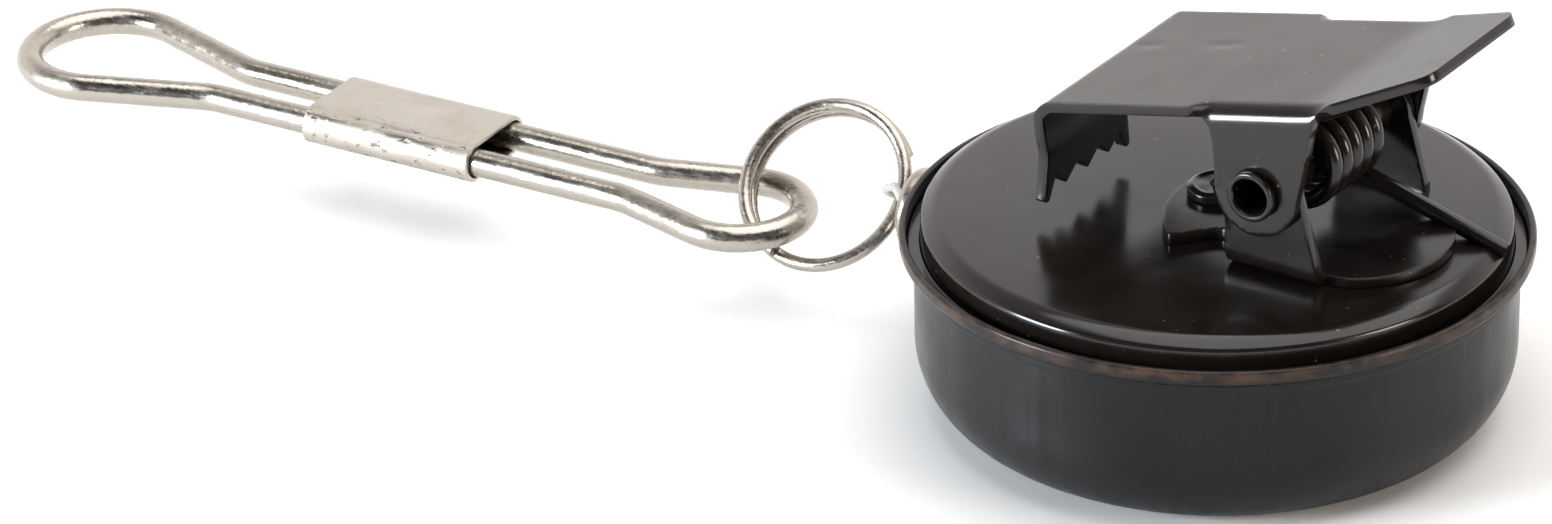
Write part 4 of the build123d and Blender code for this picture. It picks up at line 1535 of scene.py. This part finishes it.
def build_floor():
    """A plain pale floor."""
    size = Sizes("reel_studio")
    reach = 3000.0
    corners = [(-reach, -reach, 0), (reach, -reach, 0), (reach, reach, 0), (-reach, reach, 0)]
    mesh = mesh_of("floor", corners, [(0, 1, 2, 3)])
    mesh.transform(Matrix.Scale(MM, 4))
    floor = new_object("floor", mesh)
    made = Finish("floor_paper", size.floor_colour, roughness=0.9)
    made.shader.inputs["Specular IOR Level"].default_value = 0.1
    mesh.materials.append(made.material)


def build_lights():
    """Even light all round and soft boxes at the sides."""
    size = Sizes("reel_studio")
    world = bpy.data.worlds.new("studio")
    bpy.context.scene.world = world
    world.use_nodes = True
    background = world.node_tree.nodes["Background"]
    background.inputs["Color"].default_value = (1.0, 0.965, 0.945, 1)
    # The room is brightest low down behind the object, and dim overhead and on the camera's side.
    turn = Matrix.Rotation(size.azimuth, 3, "Z")
    nodes, link = world.node_tree.nodes, world.node_tree.links.new
    place = nodes.new("ShaderNodeTexCoord")

    def toward(direction, low, high, start, end):
        """Maps how far a ray points along a direction from one range to another."""
        along = nodes.new("ShaderNodeVectorMath")
        along.operation = "DOT_PRODUCT"
        along.inputs[1].default_value = direction
        link(place.outputs["Generated"], along.inputs[0])
        mapped = nodes.new("ShaderNodeMapRange")
        mapped.interpolation_type = "SMOOTHSTEP"
        for socket, value in (("From Min", low), ("From Max", high), ("To Min", start), ("To Max", end)):
            mapped.inputs[socket].default_value = value
        link(along.outputs["Value"], mapped.inputs["Value"])
        return mapped.outputs["Result"]

    far = toward(turn @ Vector((0, 1, 0)), -0.25, 0.55, size.sky_near, size.sky_strength)
    high = toward(Vector((0, 0, 1)), 0.42, 0.8, 1.0, size.sky_top)
    both = nodes.new("ShaderNodeMath")
    both.operation = "MULTIPLY"
    link(far, both.inputs[0])
    link(high, both.inputs[1])
    link(both.outputs["Value"], background.inputs["Strength"])
    boxes = {
        "left_box": ((-0.32, -0.37, 0.11), 0.17, 4.2, (0.86, 0.93, 1.0)),
        "top_box": ((0.15, 0.25, 1.3), 1.6, 19.0, (1.0, 1.0, 1.0)),
        "right_box": ((0.46, 0.02, 0.14), 0.16, 1.0, (1.0, 0.88, 0.76)),
    }
    for name, (place, width, power, tone) in boxes.items():
        data = bpy.data.lights.new(name, "AREA")
        data.shape, data.size, data.energy, data.color = "SQUARE", width, power, tone
        box = bpy.data.objects.new(name, data)
        bpy.context.scene.collection.objects.link(box)
        box.location = place
        box.visible_camera = False
        box.rotation_euler = (-Vector(place)).to_track_quat("-Z", "Y").to_euler()
    bpy.context.scene.view_settings.view_transform = "Standard"


# ---- Operators ----------------------------------------------------------------------------------------


class REEL_OT_stage(bpy.types.Operator):
    """Adds the camera, the floor and the light"""

    bl_idname = "reel.stage"
    bl_label = "Stage"

    def execute(self, context):
        build_camera()
        build_floor()
        build_lights()
        return {"FINISHED"}


class REEL_OT_case(bpy.types.Operator):
    """Adds the cup and the back plate"""

    bl_idname = "reel.case"
    bl_label = "Case"

    def execute(self, context):
        build_cup()
        build_plate()
        return {"FINISHED"}


class REEL_OT_ferrule(bpy.types.Operator):
    """Adds the eyelet that the cord leaves by"""

    bl_idname = "reel.ferrule"
    bl_label = "Ferrule"

    def execute(self, context):
        build_ferrule()
        return {"FINISHED"}


class REEL_OT_inside(bpy.types.Operator):
    """Gives the plain inner parts their finishes and adds the mainspring"""

    bl_idname = "reel.inside"
    bl_label = "Inner parts"

    def execute(self, context):
        finish_inner_parts()
        build_mainspring()
        return {"FINISHED"}


class REEL_OT_cord(bpy.types.Operator):
    """Adds the wound cord, the stretch to the crimp and the end loop"""

    bl_idname = "reel.cord"
    bl_label = "Cord"

    def execute(self, context):
        build_winding()
        build_cord_lead()
        build_cord_loop()
        return {"FINISHED"}


class REEL_OT_ring(bpy.types.Operator):
    """Adds the split ring"""

    bl_idname = "reel.ring"
    bl_label = "Split ring"

    def execute(self, context):
        build_ring()
        return {"FINISHED"}


class REEL_OT_snap(bpy.types.Operator):
    """Adds the snap wire and its sleeve"""

    bl_idname = "reel.snap"
    bl_label = "Snap"

    def execute(self, context):
        build_snap()
        build_sleeve()
        return {"FINISHED"}


class REEL_OT_clip_base(bpy.types.Operator):
    """Adds the clip's base and the rivet that it turns on"""

    bl_idname = "reel.clip_base"
    bl_label = "Clip base"

    def execute(self, context):
        build_base()
        build_rivet()
        return {"FINISHED"}


class REEL_OT_lever(bpy.types.Operator):
    """Adds the toothed lever"""

    bl_idname = "reel.lever"
    bl_label = "Lever"

    def execute(self, context):
        build_lever()
        return {"FINISHED"}


class REEL_OT_pivot(bpy.types.Operator):
    """Adds the hollow pivot"""

    bl_idname = "reel.pivot"
    bl_label = "Pivot"

    def execute(self, context):
        build_pivot()
        return {"FINISHED"}


class REEL_OT_clip_spring(bpy.types.Operator):
    """Adds the clip's torsion spring"""

    bl_idname = "reel.clip_spring"
    bl_label = "Clip spring"

    def execute(self, context):
        build_clip_spring()
        return {"FINISHED"}


class REEL_PT_panel(bpy.types.Panel):
    """Sidebar panel with the settings and the operators."""

    bl_label = "Clip-on cord reel"
    bl_idname = "REEL_PT_panel"
    bl_space_type = "VIEW_3D"
    bl_region_type = "UI"
    bl_category = "Cord reel"

    def draw(self, context):
        for name in GROUPS:
            box = self.layout.box()
            group = getattr(context.scene, name)
            for key in group.__annotations__:
                box.prop(group, key)
        for made in OPERATORS:
            self.layout.operator(made.bl_idname)


OPERATORS = (
    REEL_OT_stage,
    REEL_OT_case,
    REEL_OT_ferrule,
    REEL_OT_inside,
    REEL_OT_cord,
    REEL_OT_ring,
    REEL_OT_snap,
    REEL_OT_clip_base,
    REEL_OT_lever,
    REEL_OT_pivot,
    REEL_OT_clip_spring,
)


def register():
    for group in GROUPS.values():
        bpy.utils.register_class(group)
    for made in (*OPERATORS, REEL_PT_panel):
        bpy.utils.register_class(made)
    for name, group in GROUPS.items():
        setattr(bpy.types.Scene, name, PointerProperty(type=group))


def unregister():
    for name in GROUPS:
        delattr(bpy.types.Scene, name)
    for made in (REEL_PT_panel, *reversed(OPERATORS)):
        bpy.utils.unregister_class(made)
    for group in reversed(GROUPS.values()):
        bpy.utils.unregister_class(group)


def main():
    register()
    bpy.ops.reel.stage()
    bpy.ops.reel.case()
    bpy.ops.reel.ferrule()
    bpy.ops.reel.inside()
    bpy.ops.reel.cord()
    bpy.ops.reel.ring()
    bpy.ops.reel.snap()
    bpy.ops.reel.clip_base()
    bpy.ops.reel.lever()
    bpy.ops.reel.pivot()
    bpy.ops.reel.clip_spring()
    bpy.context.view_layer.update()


if __name__ == "__main__":
    main()
